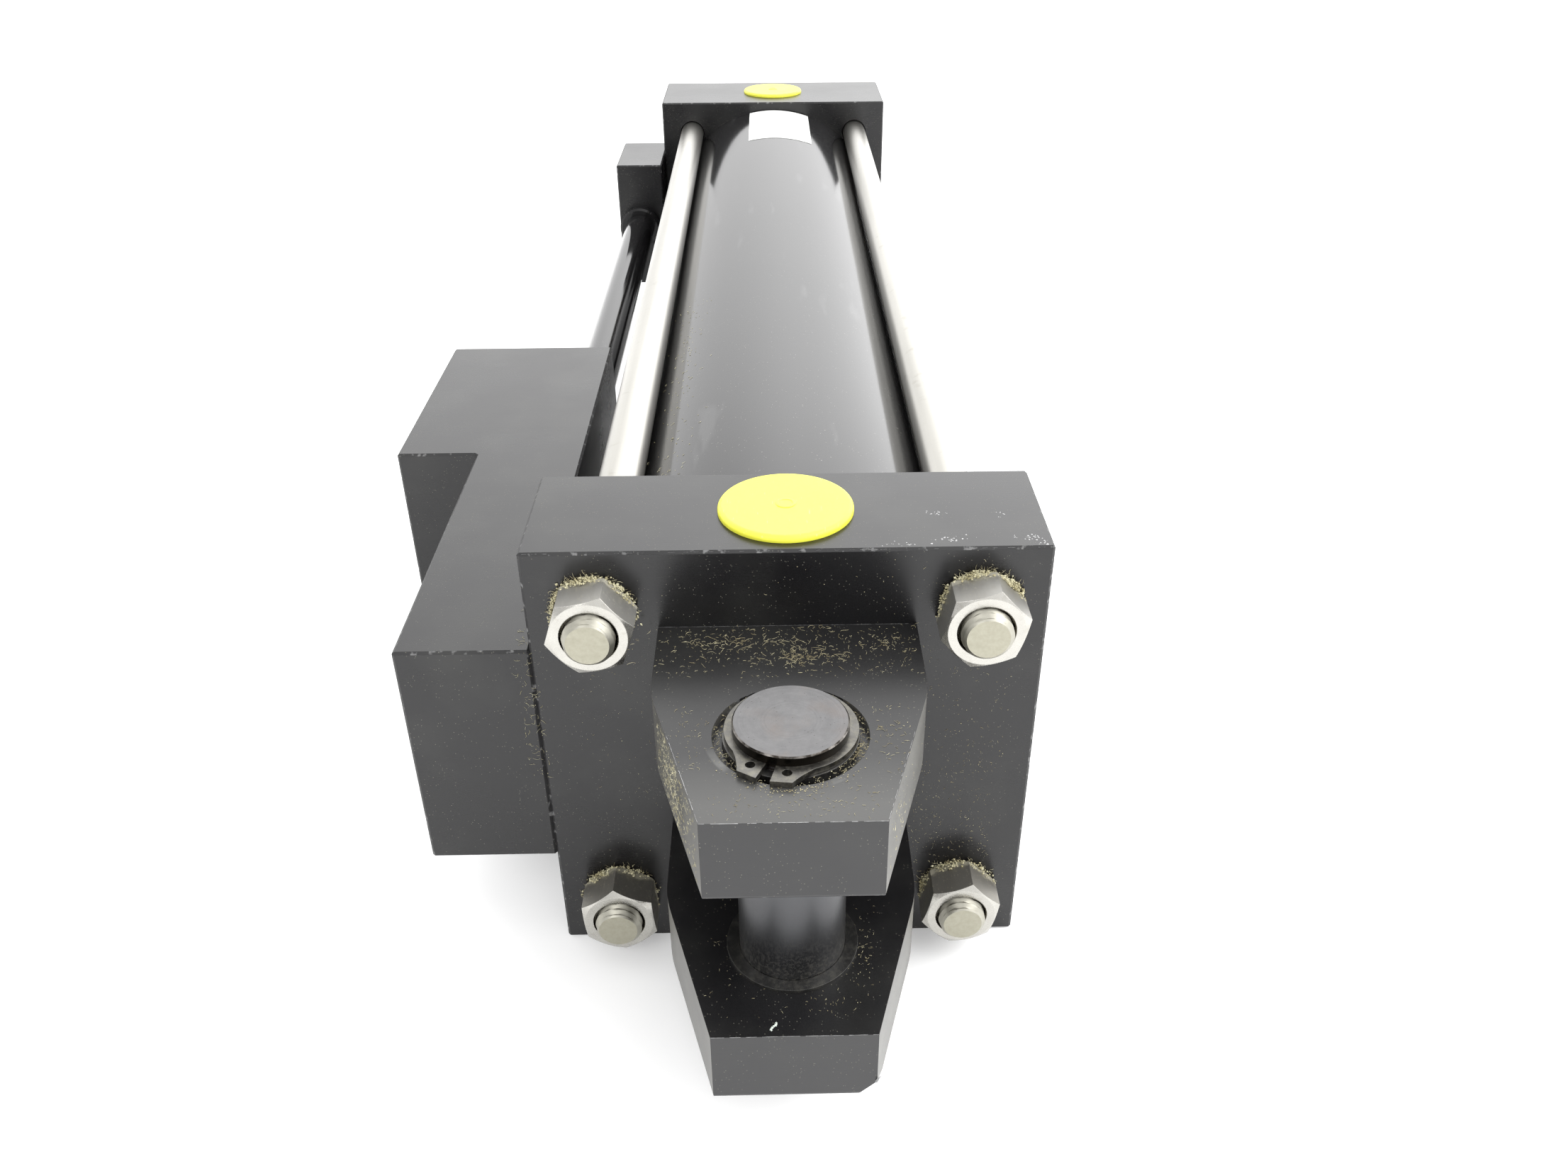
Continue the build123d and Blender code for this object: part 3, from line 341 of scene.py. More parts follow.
def anodised(name, rough=0.27, ear=False):
    """Black anodised aluminium over tool marks, with worn corners, smudges and fine dust."""
    graph = Graph(name)
    dark, light, lines = 0.003, 0.008, 0.3
    cloud = graph.noise(28, 5.0, rough=0.6)
    tool = milled_lines(graph)
    colour = graph.mix(cloud, (dark, dark * 0.96, dark * 1.12), (light, light * 0.95, light * 1.05))
    smudge = graph.remap(graph.noise(55, 5.0, shift=(2, 5, 1)), 0.48, 0.70)
    colour = graph.mix(graph.math("MULTIPLY", smudge, 0.45), colour, (0.024, 0.024, 0.022))
    # On the ears: ring scuffs, and painted light on the top, nose and sides, with some dust on the sides
    if ear:
        colour = ear_wear_and_painted_light(graph, colour)
    chipped = graph.remap(graph.noise(700, 4.0, shift=(1, 1, 1)), 0.58, 0.67)
    corner = corner_mask(graph)
    edge = graph.math("MULTIPLY", corner, graph.math("ADD", 0.04, chipped))
    fine = specks(graph, 1500, 0.13, 0.50)
    dust = graph.math("MAXIMUM", fine, specks(graph, 700, 0.06, 0.46, (4, 4, 4)))
    colour = graph.mix(graph.math("MULTIPLY", edge, 0.5), colour, WORN_COLOUR)
    colour = graph.mix(graph.math("MULTIPLY", dust, 0.40), colour, (0.26, 0.25, 0.20))
    finish = graph.math("ADD", rough - 0.08, graph.math("MULTIPLY", tool, 0.08 * lines))
    finish = graph.math("ADD", finish, graph.math("MULTIPLY", cloud, 0.16))
    finish = graph.math("MAXIMUM", finish, graph.math("MULTIPLY", graph.math("MAXIMUM", dust, corner), 0.6))
    relief = graph.bump(tool, 0.012 * MM * lines, graph.soft_edge(0.10 * MM))
    return graph.set(Base_Color=colour, Roughness=finish, Normal=relief, IOR=1.49)


def tube_black(name):
    """Drawn tube in glossy black anodising, with a few faint rub marks along it."""
    graph = Graph(name)
    cloud = graph.noise(22, 5.0)
    drawn = graph.noise(1.0, 3.0, (900, 12, 900))
    colour = graph.mix(cloud, (0.007, 0.0068, 0.0075), (0.013, 0.0125, 0.013))
    rubbed = graph.remap(graph.noise(1.0, 3.0, (140, 25, 140), (5, 2, 3)), 0.63, 0.70)
    dust = graph.math("MAXIMUM", specks(graph, 1100, 0.10, 0.47), specks(graph, 420, 0.05, 0.5, (2, 2, 2)))
    colour = graph.mix(graph.math("MULTIPLY", rubbed, 0.08), colour, (0.3, 0.3, 0.3))
    colour = graph.mix(graph.math("MULTIPLY", dust, 0.45), colour, (0.36, 0.35, 0.31))
    finish = graph.math("ADD", 0.055, graph.math("MULTIPLY", cloud, 0.05))
    finish = graph.math("ADD", finish, graph.math("MULTIPLY", drawn, 0.03))
    return graph.set(Base_Color=colour, Roughness=finish, Normal=graph.bump(drawn, 0.002 * MM), IOR=1.42)


def ground_steel(name):
    """Bright ground stainless bar with fine marks round it; its sawn ends are dull and dusty."""
    graph = Graph(name)
    colour = (0.43, 0.42, 0.39)
    marks = graph.noise(1.0, 4.0, (60, 2400, 60))
    streak = graph.noise(1.0, 3.0, (260, 9, 260), (1, 4, 2))
    tint = graph.mix(graph.remap(streak, 0.35, 0.75), colour, tuple(c * 0.80 for c in colour))
    grime = graph.remap(graph.noise(240, 5.0), 0.62, 0.74)
    tint = graph.mix(graph.math("MULTIPLY", grime, 0.30), tint, (0.22, 0.20, 0.16))
    y = graph.parts(graph.place)[1]
    beyond_near = graph.math("LESS_THAN", y, CAP_NUTS[0].y + 0.8 * MM)
    beyond_far = graph.math("GREATER_THAN", y, HEAD_NUTS[1].y - 0.8 * MM)
    tip = graph.math("MAXIMUM", beyond_near, beyond_far)
    sawn = graph.mix(graph.noise(900, 5.0, rough=0.7), (0.27, 0.26, 0.205), (0.42, 0.405, 0.33))
    flat = graph.remap(graph.math("ABSOLUTE", graph.parts(graph.normal)[1]), 0.85, 0.95)
    tint = graph.mix(graph.math("MULTIPLY", tip, graph.math("ADD", 0.6, flat), clamp=True), tint, sawn)
    finish = graph.math("ADD", 0.24, graph.math("MULTIPLY", marks, 0.16))
    finish = graph.math("MAXIMUM", finish, graph.math("MULTIPLY", tip, 0.45))
    return graph.set(Base_Color=tint, Metallic=1.0, Roughness=finish, Normal=graph.bump(marks, 0.006 * MM))


def nut_steel(name):
    """Stainless nuts: bright turned faces and chamfers, duller flats with painted shade where they face down
    and on the two lower nuts, dust near the seat.
    """
    graph = Graph(name)
    y = graph.parts(graph.place)[1]
    from_near = graph.math("ABSOLUTE", graph.math("SUBTRACT", CAP_NUTS[1].y, y))
    from_far = graph.math("ABSOLUTE", graph.math("SUBTRACT", y, HEAD_NUTS[0].y))
    height = graph.math("MINIMUM", from_near, from_far)
    grain = graph.noise(520, 5.0, rough=0.65)
    toward_end = graph.math("ABSOLUTE", graph.parts(graph.normal)[1])
    flats = graph.math("LESS_THAN", toward_end, 0.2)
    up = graph.remap(graph.parts(graph.normal)[2], -0.6, 0.7)
    cover = graph.math("ADD", grain, graph.math("MULTIPLY", up, 0.20))
    cover = graph.math("SUBTRACT", cover, graph.math("MULTIPLY", height, 230.0))
    dust = graph.math("MULTIPLY", graph.remap(cover, 0.12, 0.42), flats)
    spots = graph.math("MULTIPLY", specks(graph, 1500, 0.22, 0.56), graph.math("MULTIPLY", flats, 0.6))
    dust = graph.math("MAXIMUM", dust, spots)
    turned = graph.noise(1.0, 3.0, (1500, 80, 1500))
    bright = graph.mix(graph.noise(300, 3.0), (0.50, 0.49, 0.455), (0.40, 0.39, 0.36))
    satin = graph.mix(graph.noise(260, 4.0, (1, 0.3, 1)), (0.40, 0.395, 0.37), (0.26, 0.25, 0.23))
    # Painted shade: flats that face down are darker, and those of the two lower nuts darker still
    satin = graph.mix(up, (0.15, 0.145, 0.13), satin)
    low = graph.math("LESS_THAN", graph.parts(graph.place)[2], 0.0)
    satin = graph.mix(graph.math("MULTIPLY", low, 0.6), satin, (0.11, 0.10, 0.08))
    tint = graph.mix(flats, bright, satin)
    stain = graph.math("MULTIPLY", graph.remap(graph.noise(700, 4.0), 0.60, 0.75), 0.20)
    tint = graph.mix(stain, tint, (0.25, 0.22, 0.17))
    sunk = graph.math("LESS_THAN", from_tie_axis(graph), NUT_SINK_R - 0.05 * MM)
    tint = graph.mix(graph.math("MULTIPLY", sunk, 0.9), tint, (0.05, 0.042, 0.025))
    tint = graph.mix(graph.math("MULTIPLY", dust, 0.6), tint, DUST_COLOUR)
    metal = graph.math("SUBTRACT", 1.0, graph.math("MAXIMUM", dust, graph.math("MULTIPLY", flats, 0.35)))
    finish = graph.math("ADD", 0.20, graph.math("MULTIPLY", turned, 0.14))
    finish = graph.math("ADD", finish, graph.math("MULTIPLY", flats, 0.15))
    finish = graph.math("MAXIMUM", finish, graph.math("MULTIPLY", dust, 0.85))
    relief = graph.math("ADD", graph.math("MULTIPLY", dust, graph.noise(2600, 3.0)), turned)
    return graph.set(Base_Color=tint, Metallic=metal, Roughness=finish,
                     Normal=graph.bump(relief, 0.02 * MM, graph.soft_edge(0.15 * MM)))


def pin_steel(name):
    """Black oxide pin: fine rings turned on its ends, satin sides, brown dust at the foot, a painted
    highlight on the end chamfers and painted shade on the side above the upper ear.
    """
    graph = Graph(name)
    lean = graph.math("ABSOLUTE", graph.parts(graph.normal)[2])
    end = graph.math("GREATER_THAN", lean, 0.9)
    chamfer = graph.math("SUBTRACT", graph.math("GREATER_THAN", lean, 0.2), end)
    # Painted highlight: a broken light line on the end chamfers
    edge = graph.math("MULTIPLY", chamfer, graph.remap(graph.noise(500, 3.0), 0.38, 0.6))
    rings = graph.rings(from_pin_axis(graph), 3200)
    mottle = graph.noise(260, 5.0, rough=0.7)
    face = graph.mix(graph.remap(mottle, 0.25, 0.75), (0.105, 0.104, 0.106), (0.148, 0.146, 0.147))
    brown = graph.remap(graph.noise(150, 4.0, shift=(2, 2, 1)), 0.50, 0.70)
    face = graph.mix(graph.math("MULTIPLY", brown, 0.4), face, (0.155, 0.128, 0.112))
    flecks = specks(graph, 1300, 0.14, 0.5, (7, 1, 2))
    face = graph.mix(graph.math("MULTIPLY", flecks, 0.5), face, (0.05, 0.045, 0.042))
    side = graph.mix(mottle, (0.084, 0.085, 0.089), (0.098, 0.099, 0.103))
    # Painted shade: the side of the pin above the upper ear, under its top, much darker
    height = graph.math("ABSOLUTE", graph.parts(graph.place)[2])
    painted_shade_above_ear = graph.remap(height, EAR_TOP - 0.2 * MM, EAR_TOP + 0.3 * MM)
    side = graph.mix(painted_shade_above_ear, side, (0.022, 0.019, 0.016))
    tint = graph.mix(end, side, face)
    # The painted chamfer highlight goes on here
    tint = graph.mix(graph.math("MULTIPLY", edge, 0.5), tint, (0.34, 0.32, 0.30))
    foot = graph.remap(graph.parts(graph.place)[2], -4.0 * MM, LOW_EAR[1].z, 0.0, 0.30)
    foot = graph.math("MULTIPLY", foot, graph.remap(graph.noise(1700, 4.0), 0.48, 0.60))
    foot = graph.math("MULTIPLY", foot, graph.math("SUBTRACT", 1.0, end))
    tint = graph.mix(foot, tint, (0.10, 0.085, 0.05))
    finish = graph.math("ADD", 0.24, graph.math("MULTIPLY", rings, 0.16))
    metal = graph.math("SUBTRACT", 1.0, foot)
    relief = graph.math("ADD", graph.math("MULTIPLY", rings, end), graph.math("MULTIPLY", mottle, 0.2))
    return graph.set(Base_Color=tint, Metallic=metal, Roughness=finish,
                     Normal=graph.bump(relief, 0.006 * MM, graph.soft_edge(0.05 * MM)))


def dark_steel(name, colour, rough, dusty, worn):
    """Black oxide steel: satin, with brighter rubbed patches and some clinging dust."""
    graph = Graph(name)
    cloud = graph.noise(160, 4.0)
    turned = graph.noise(1.0, 3.0, (1800, 1800, 140))
    tint = graph.mix(cloud, colour, tuple(c * 1.5 for c in colour))
    rubbed = graph.math("MULTIPLY", graph.remap(graph.noise(420, 5.0), 0.50, 0.72), worn)
    tint = graph.mix(rubbed, tint, (0.42, 0.41, 0.40))
    dust = graph.math("MULTIPLY", graph.remap(graph.noise(700, 5.0, rough=0.7), 0.46, 0.62), dusty)
    tint = graph.mix(dust, tint, DUST_COLOUR)
    finish = graph.math("ADD", rough - 0.05, graph.math("MULTIPLY", turned, 0.14))
    finish = graph.math("MAXIMUM", finish, graph.math("MULTIPLY", dust, 0.9))
    metal = graph.math("SUBTRACT", 1.0, dust)
    return graph.set(Base_Color=tint, Metallic=metal, Roughness=finish,
                     Normal=graph.bump(turned, 0.008 * MM, graph.soft_edge(0.1 * MM)))


def plug_plastic(name):
    """Moulded yellow polyethylene, a little cloudy, with fine scuffs."""
    graph = Graph(name)
    cloud = graph.noise(140, 4.0)
    tint = graph.mix(cloud, (0.80, 0.79, 0.055), (0.86, 0.85, 0.08))
    scuff = graph.remap(graph.noise(1.0, 4.0, (2200, 260, 900)), 0.66, 0.72)
    tint = graph.mix(graph.math("MULTIPLY", scuff, 0.30), tint, (0.9, 0.9, 0.45))
    finish = graph.math("ADD", 0.34, graph.math("MULTIPLY", cloud, 0.16))
    graph.set(Base_Color=tint, Roughness=finish, Normal=graph.bump(graph.noise(900, 3.0), 0.02 * MM))
    return graph.set(Subsurface_Weight=0.25, Subsurface_Radius=(1.0, 0.9, 0.1), Subsurface_Scale=0.0012)


def turned_metal(name, colour, rough=0.28):
    """Turned metal with marks round the Y axis and slow colour change."""
    graph = Graph(name)
    marks = graph.noise(1.0, 3.0, (90, 1700, 90))
    tint = graph.mix(graph.noise(120, 4.0), colour, tuple(c * 0.78 for c in colour))
    finish = graph.math("ADD", rough - 0.05, graph.math("MULTIPLY", marks, 0.14))
    return graph.set(Base_Color=tint, Metallic=1.0, Roughness=finish, Normal=graph.bump(marks, 0.01 * MM))


def rubber(name):
    """Matt black seal rubber."""
    graph = Graph(name)
    tint = graph.mix(graph.noise(300, 4.0), (0.012, 0.012, 0.012), (0.03, 0.03, 0.03))
    return graph.set(Base_Color=tint, Roughness=graph.remap(graph.noise(900, 2.0), 0.3, 0.7, 0.45, 0.62),
                     Normal=graph.bump(graph.noise(2400, 2.0), 0.01 * MM))


def filled_ptfe(name):
    """Green filled PTFE of the wear band."""
    graph = Graph(name)
    tint = graph.mix(graph.noise(500, 5.0), (0.10, 0.26, 0.19), (0.15, 0.34, 0.26))
    return graph.set(Base_Color=tint, Roughness=graph.remap(graph.noise(700, 2.0), 0.3, 0.7, 0.38, 0.55))


def paper(name):
    """A blank label: matt white film with faint creases."""
    graph = Graph(name)
    tint = graph.mix(graph.noise(90, 5.0), (0.86, 0.87, 0.85), (0.80, 0.81, 0.78))
    fibre = graph.noise(1600, 3.0)
    return graph.set(Base_Color=tint, Roughness=graph.remap(fibre, 0.3, 0.7, 0.42, 0.58),
                     Normal=graph.bump(fibre, 0.006 * MM))


def lint(name, pale, deep):
    """Dry plant fibre, sawdust and grit."""
    graph = Graph(name)
    tint = graph.mix(graph.remap(graph.noise(420, 3.0), 0.35, 0.65), pale, deep)
    return graph.set(Base_Color=tint, Roughness=graph.remap(graph.noise(900, 2.0), 0.3, 0.7, 0.7, 0.9),
                     Normal=graph.bump(graph.noise(3000, 3.0), 0.02 * MM))


def bare_metal(name):
    """Bright broken aluminium of a burr or a scuff."""
    graph = Graph(name)
    tint = graph.mix(graph.noise(1400, 4.0), (0.50, 0.50, 0.50), (0.22, 0.22, 0.22))
    finish = graph.remap(graph.noise(1800, 3.0), 0.3, 0.7, 0.3, 0.5)
    return graph.set(Base_Color=tint, Metallic=0.6, Roughness=finish)


def finishes():
    """One material for each material slot of the record."""
    return {
        "black_anodised": anodised("black_anodised"),
        "barrel_anodised": tube_black("barrel_anodised"),
        "tube_black": tube_black("tube_black"),
        "stainless_rod": ground_steel("stainless_rod"),
        "stainless_nut": nut_steel("stainless_nut"),
        "pin_steel": pin_steel("pin_steel"),
        "ring_steel": dark_steel("ring_steel", (0.095, 0.092, 0.085), 0.34, 0.22, 0.10),
        "bush_steel": dark_steel("bush_steel", (0.085, 0.084, 0.082), 0.38, 0.12, 0.10),
        "yellow_plastic": plug_plastic("yellow_plastic"),
        "bronze": turned_metal("bronze", (0.50, 0.36, 0.20)),
        "seal_rubber": rubber("seal_rubber"),
        "black_screw": dark_steel("black_screw", (0.05, 0.05, 0.053), 0.36, 0.15, 0.2),
        "piston_iron": turned_metal("piston_iron", (0.32, 0.32, 0.33), 0.36),
        "wear_band": filled_ptfe("wear_band"),
        "chrome_rod": turned_metal("chrome_rod", (0.46, 0.465, 0.475), 0.14),
        "retainer_steel": dark_steel("retainer_steel", (0.06, 0.06, 0.064), 0.34, 0.1, 0.2),
        "label_white": paper("label_white"),
    }


def dress(obj, material):
    """Gives a piece one material and no other."""
    obj.data.materials.clear()
    obj.data.materials.append(material)


def new_piece(name, points, faces, material, body, smooth=True):
    """A mesh object in the row frame that rides on a body."""
    mesh = bpy.data.meshes.new(name)
    mesh.from_pydata(points, [], faces)
    mesh.validate()
    mesh.update()
    if smooth:
        mesh.shade_smooth()
        mesh.set_sharp_from_angle(angle=SHARP_ANGLE)
    piece = bpy.data.objects.new(name, mesh)
    bpy.context.scene.collection.objects.link(piece)
    dress(piece, material)
    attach(piece, body)
    return piece


def lathe(sections, centre, angles):
    """Points and faces of a closed bar along Y; each section is (y, radius at an angle)."""
    points = [(centre[0], sections[0][0], centre[1])]
    for y, radius in sections:
        for angle in angles:
            r = radius(angle)
            points.append((centre[0] + r * math.cos(angle), y, centre[1] + r * math.sin(angle)))
    points.append((centre[0], sections[-1][0], centre[1]))
    count = len(angles)
    faces = [(0, 1 + i, 1 + (i + 1) % count) for i in range(count)]
    for row in range(len(sections) - 1):
        start = 1 + row * count
        for i in range(count):
            j = (i + 1) % count
            faces.append((start + j, start + i, start + count + i, start + count + j))
    last = 1 + (len(sections) - 1) * count
    faces += [(len(points) - 1, last + (i + 1) % count, last + i) for i in range(count)]
    return points, faces


def plain(radius):
    """The radius of a round bar."""
    return lambda angle: radius


def flatted(radius, half_width):
    """The radius of a bar with two flats that look along -X and +X."""
    def at(angle):
        reach = abs(math.cos(angle))
        return min(radius, half_width / reach) if reach > 0.01 else radius
    return at


def threaded(radius, y, fade):
    """The radius round one section of a helical thread; fade is 0 for none, 1 for full depth."""
    def at(angle):
        turn = (y / THREAD_PITCH - angle / math.tau) % 1.0
        return radius - THREAD_DEPTH * fade * (1.0 - abs(2.0 * turn - 1.0))
    return at


def chamfered(radius_at, limit):
    """A radius kept to a limit."""
    return lambda angle: min(radius_at(angle), limit)


def thread_sections(radius, start, end, tip_first, chamfer):
    """Sections from start to end: chamfered at the tip, fading out at the other end."""
    count = round((end - start) / THREAD_PITCH * THREAD_RINGS)
    rows = []
    for k in range(count + 1):
        y = start + (end - start) * k / count
        to_tip, to_root = (y - start, end - y) if tip_first else (end - y, y - start)
        fade = min(1.0, to_root / THREAD_FADE)
        cut = max(0.0, chamfer - to_tip)
        rows.append((y, chamfered(threaded(radius, y, fade), radius - cut)))
    return rows


def round_angles(extra=()):
    """Even angles round a turn, with any extra ones that corners need."""
    angles = [math.tau * i / ROUND_STEPS for i in range(ROUND_STEPS)]
    return sorted(set(angles) | set(extra))


def threaded_tie_rod(node, material):
    """A tie rod with a real thread at each end, in place of the plain bar."""
    low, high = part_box(node)
    radius = (high.x - low.x) / 2
    centre = ((low.x + high.x) / 2, (low.z + high.z) / 2)
    sections = thread_sections(radius, low.y, low.y + TIE_THREAD_LENGTH, True, TIE_END_CHAMFER)
    sections += thread_sections(radius, high.y - TIE_THREAD_LENGTH, high.y, False, TIE_END_CHAMFER)
    points, faces = lathe(sections, centre, round_angles())
    piece = new_piece("threaded_" + node, points, faces, material, ROOT)
    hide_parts(node)


def threaded_piston_rod(material):
    """The piston rod with wrench flats and a real thread on its end, in place of the plain bar."""
    low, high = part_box("piston_rod")
    radius = (high.x - low.x) / 2
    piston_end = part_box("piston")[1].y
    shoulder = high.y - ROD_THREAD_LENGTH
    flats_start = shoulder - ROD_FLATS_LENGTH
    flat = flatted(radius, ROD_FLATS / 2)
    sections = [(low.y, plain(ROD_THREAD_R)), (piston_end, plain(ROD_THREAD_R)), (piston_end, plain(radius)),
                (flats_start, plain(radius)), (flats_start, flat), (shoulder - ROD_SHOULDER_CHAMFER, flat),
                (shoulder, chamfered(flat, radius - ROD_SHOULDER_CHAMFER))]
    sections += thread_sections(ROD_THREAD_R, shoulder, high.y, False, ROD_END_CHAMFER)
    corner = math.acos(ROD_FLATS / 2 / radius)
    corners = [angle % math.tau for angle in (corner, -corner, math.pi - corner, math.pi + corner)]
    points, faces = lathe(sections, (0.0, 0.0), round_angles(corners))
    piece = new_piece("threaded_piston_rod", points, faces, material, "rod")
    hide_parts("piston_rod")


class Heap:
    """Many small closed solids that become one mesh."""

    def __init__(self):
        self.points = []
        self.faces = []

    def tube(self, path, widths, up):
        """A three-sided closed strand along a path."""
        first = len(self.points)
        count = len(path)
        for i, point in enumerate(path):
            along = (path[min(i + 1, count - 1)] - path[max(i - 1, 0)]).normalized()
            side = along.cross(up).normalized()
            lift = side.cross(along)
            for k in range(3):
                turn = math.tau * k / 3 + math.pi / 2
                self.points.append(point + (side * math.cos(turn) + lift * math.sin(turn)) * widths[i] / 2)
        for i in range(count - 1):
            for k in range(3):
                a, b = first + 3 * i + k, first + 3 * i + (k + 1) % 3
                self.faces.append((a, a + 3, b + 3, b))
        end = first + 3 * (count - 1)
        self.faces += [(first, first + 1, first + 2), (end + 2, end + 1, end)]

    def fibre(self, start, up, length, width, lift=0.2):
        """A curly strand that lies on a surface and lifts off it in the middle."""
        steps = 3 + int(length / FIBRE_STEP)
        side = up.orthogonal().normalized()
        other = up.cross(side)
        heading, bend = random.uniform(0, math.tau), random.gauss(0, FIBRE_CURL)
        point, path, widths = start.copy(), [], []
        for i in range(steps + 1):
            share = i / steps
            rise = width / 2 + lift * length * math.sin(math.pi * share) * 0.4
            path.append(point + up * rise)
            widths.append(width * (0.55 + 0.45 * math.sin(math.pi * share)))
            heading += bend + random.gauss(0, FIBRE_CURL)
            point += (side * math.cos(heading) + other * math.sin(heading)) * (length / steps)
        self.tube(path, widths, up)

    def grain(self, place, up, size, flat=0.7):
        """An irregular eight-sided crumb that sits on a surface."""
        side = up.orthogonal().normalized()
        turn = random.uniform(0, math.tau)
        a = side * math.cos(turn) + up.cross(side) * math.sin(turn)
        b = up.cross(a)
        first = len(self.points)
        middle = place + up * size * flat * 0.35
        for direction, share in ((a, 1), (b, 1), (-a, 1), (-b, 1), (up, flat), (-up, flat)):
            self.points.append(middle + direction * size / 2 * share * random.uniform(0.6, 1.2))
        for i in range(4):
            j = (i + 1) % 4
            self.faces += [(first + i, first + j, first + 4), (first + j, first + i, first + 5)]

    def litter(self, place, up, grains, size, length, width, lift=0.2):
        """A crumb, in this share of the calls, or else a fibre; the ranges are in millimetres."""
        if random.random() < grains:
            self.grain(place, up, random.uniform(*size) * MM)
        else:
            self.fibre(place, up, random.uniform(*length) * MM, random.uniform(*width) * MM, lift)

    def piece(self, name, material):
        """One piece of all that lies here, which rides on the cylinder."""
        return new_piece(name, self.points, self.faces, material, ROOT, smooth=False)


def strew(heap, corner, along, across, count, length, grains=0.3, lift=0.2):
    """Fibres and crumbs over a parallelogram whose outside is along x across."""
    corner, along, across = Vector(corner), Vector(along), Vector(across)
    up = along.cross(across).normalized()
    for _ in range(count):
        place = corner + along * random.random() + across * random.random()
        heap.litter(place, up, grains, (0.08, 0.24), length, FINE_FIBRE, lift)


def clump(heap, middle, spread, count, length, grains=0.25):
    """Fibres and crumbs gathered about a point on a face that looks up."""
    for _ in range(count):
        place = Vector(middle) + Vector((random.gauss(0, spread[0]), random.gauss(0, spread[1]), 0))
        heap.litter(place, UP, grains, (0.08, 0.28), length, FIBRE)


def ear_top_dust(heap):
    """Fibres on the upper ear: bands beside the cap, a clump behind the pin, fewer elsewhere."""
    half = EAR_HALF_ROOT - 0.5 * MM
    clumps = (
        # Middle across and from the cap, spread each way in millimetres, and how many
        (-15, -5.0, 6.0, 1.6, 60),
        (-9, -5.0, 5.0, 1.4, 40),
        (4, -5.5, 8.0, 1.6, 50),
        (4.5, -10.6, 3.2, 1.2, 70),
        (1.0, -9.5, 0.9, 2.4, 46),
        (18, -6.6, 3.4, 1.6, 40),
        (0, -1.0, 12, 0.5, 24),
        (-10, -9, 8, 2.6, 40),
    )
    for x, y, across, along, count in clumps:
        clump(heap, (x * MM, CAP_FRONT + y * MM, EAR_TOP), (across * MM, along * MM), count, (0.5, 1.8))
    strew(heap, (-half, CAP_FRONT - 16 * MM, EAR_TOP), (2 * half, 0, 0), (0, 15.5 * MM, 0), 300, (0.2, 0.8))
    strew(heap, (-13 * MM, EAR_NOSE + 1 * MM, EAR_TOP), (26 * MM, 0, 0), (0, 7 * MM, 0), 110, (0.3, 0.8))
    for side in (-1, 1):
        corner = (side * 16.5 * MM - 3 * MM, -10 * MM, EAR_TOP)
        strew(heap, corner, (6 * MM, 0, 0), (0, 18 * MM, 0), 55, (0.3, 1.0))
    clump(heap, (16.8 * MM, 0.8 * MM, EAR_TOP), (1.4 * MM, 1.2 * MM), 14, (0.8, 1.6))


def recess_dust(heap):
    """Litter in the gap round the upper bush, thickest right and left, and grit in front of it."""
    for middle, spread, count in ((-22, 26, 190), (190, 30, 90), (-130, 14, 30), (60, 40, 40)):
        for _ in range(count):
            angle = math.radians(random.gauss(middle, spread))
            r = random.uniform(BUSH_R + 0.1 * MM, RECESS_R)
            level = EAR_TOP - RECESS_DEPTH * random.random() ** 1.5
            place = Vector((r * math.cos(angle), r * math.sin(angle), level))
            heap.litter(place, UP, 0.45, (0.1, 0.35), (0.4, 1.3), COARSE_FIBRE)
    for _ in range(150):
        angle = math.radians(random.gauss(-92, 26))
        r = random.gauss(13.6, 0.7) * MM
        place = Vector((r * math.cos(angle), r * math.sin(angle), EAR_TOP))
        heap.grain(place, UP, random.uniform(0.1, 0.3) * MM)


def ear_side_dust(heap):
    """Dust on the slanted sides of the upper ear, much more of it on the left."""
    low, high = EAR[0].z, EAR[1].z
    for side, count in ((-1, 900), (1, 90)):
        back = Vector((side * (EAR_HALF_ROOT - 1.1 * MM), EAR_SHOULDER_Y - 3.5 * MM, low + 1.5 * MM))
        front = Vector((side * EAR_HALF_NOSE, EAR_NOSE, low + 1.5 * MM))
        along = (front - back) * 0.92
        tall = (0, 0, high - low - 2.5 * MM)
        if side < 0:
            strew(heap, back, along, tall, count // 3, (0.3, 1.2), grains=0.5, lift=0.1)
            strew(heap, back, along * 0.55, tall, count * 2 // 3, (0.3, 1.4), grains=0.5, lift=0.1)
        else:
            strew(heap, back, tall, along, count, (0.3, 0.9), grains=0.4, lift=0.1)


def nut_crust(crumbs, strands):
    """Grit and fibres caked round the foot of each nut on the cap, mostly above it."""
    outward = Vector((0, -1, 0))
    base_r = (CAP_NUTS[1].x - TIE_OFFSET) * 0.95
    for i, k in ((-1, 1), (1, 1), (-1, -1), (1, -1)):
        middle = 120 if k < 0 else 90 - 20 * i
        for _ in range(900 if k > 0 else 450):
            angle = math.radians(random.gauss(middle, 58))
            r = base_r + abs(random.gauss(0, 0.40)) * MM - 0.35 * MM
            x = i * TIE_OFFSET + r * math.cos(angle)
            z = k * TIE_OFFSET + r * math.sin(angle)
            place = Vector((x, CAP_FRONT, z))
            thick = 1.8 * MM * random.random() ** 2
            if random.random() < 0.8:
                crumbs.grain(place + outward * thick, outward, random.uniform(0.2, 0.7) * MM, 1.0)
            else:
                length = random.uniform(0.5, 1.6) * MM
                strands.fibre(place, outward, length, random.uniform(*COARSE_FIBRE) * MM, lift=0.6)


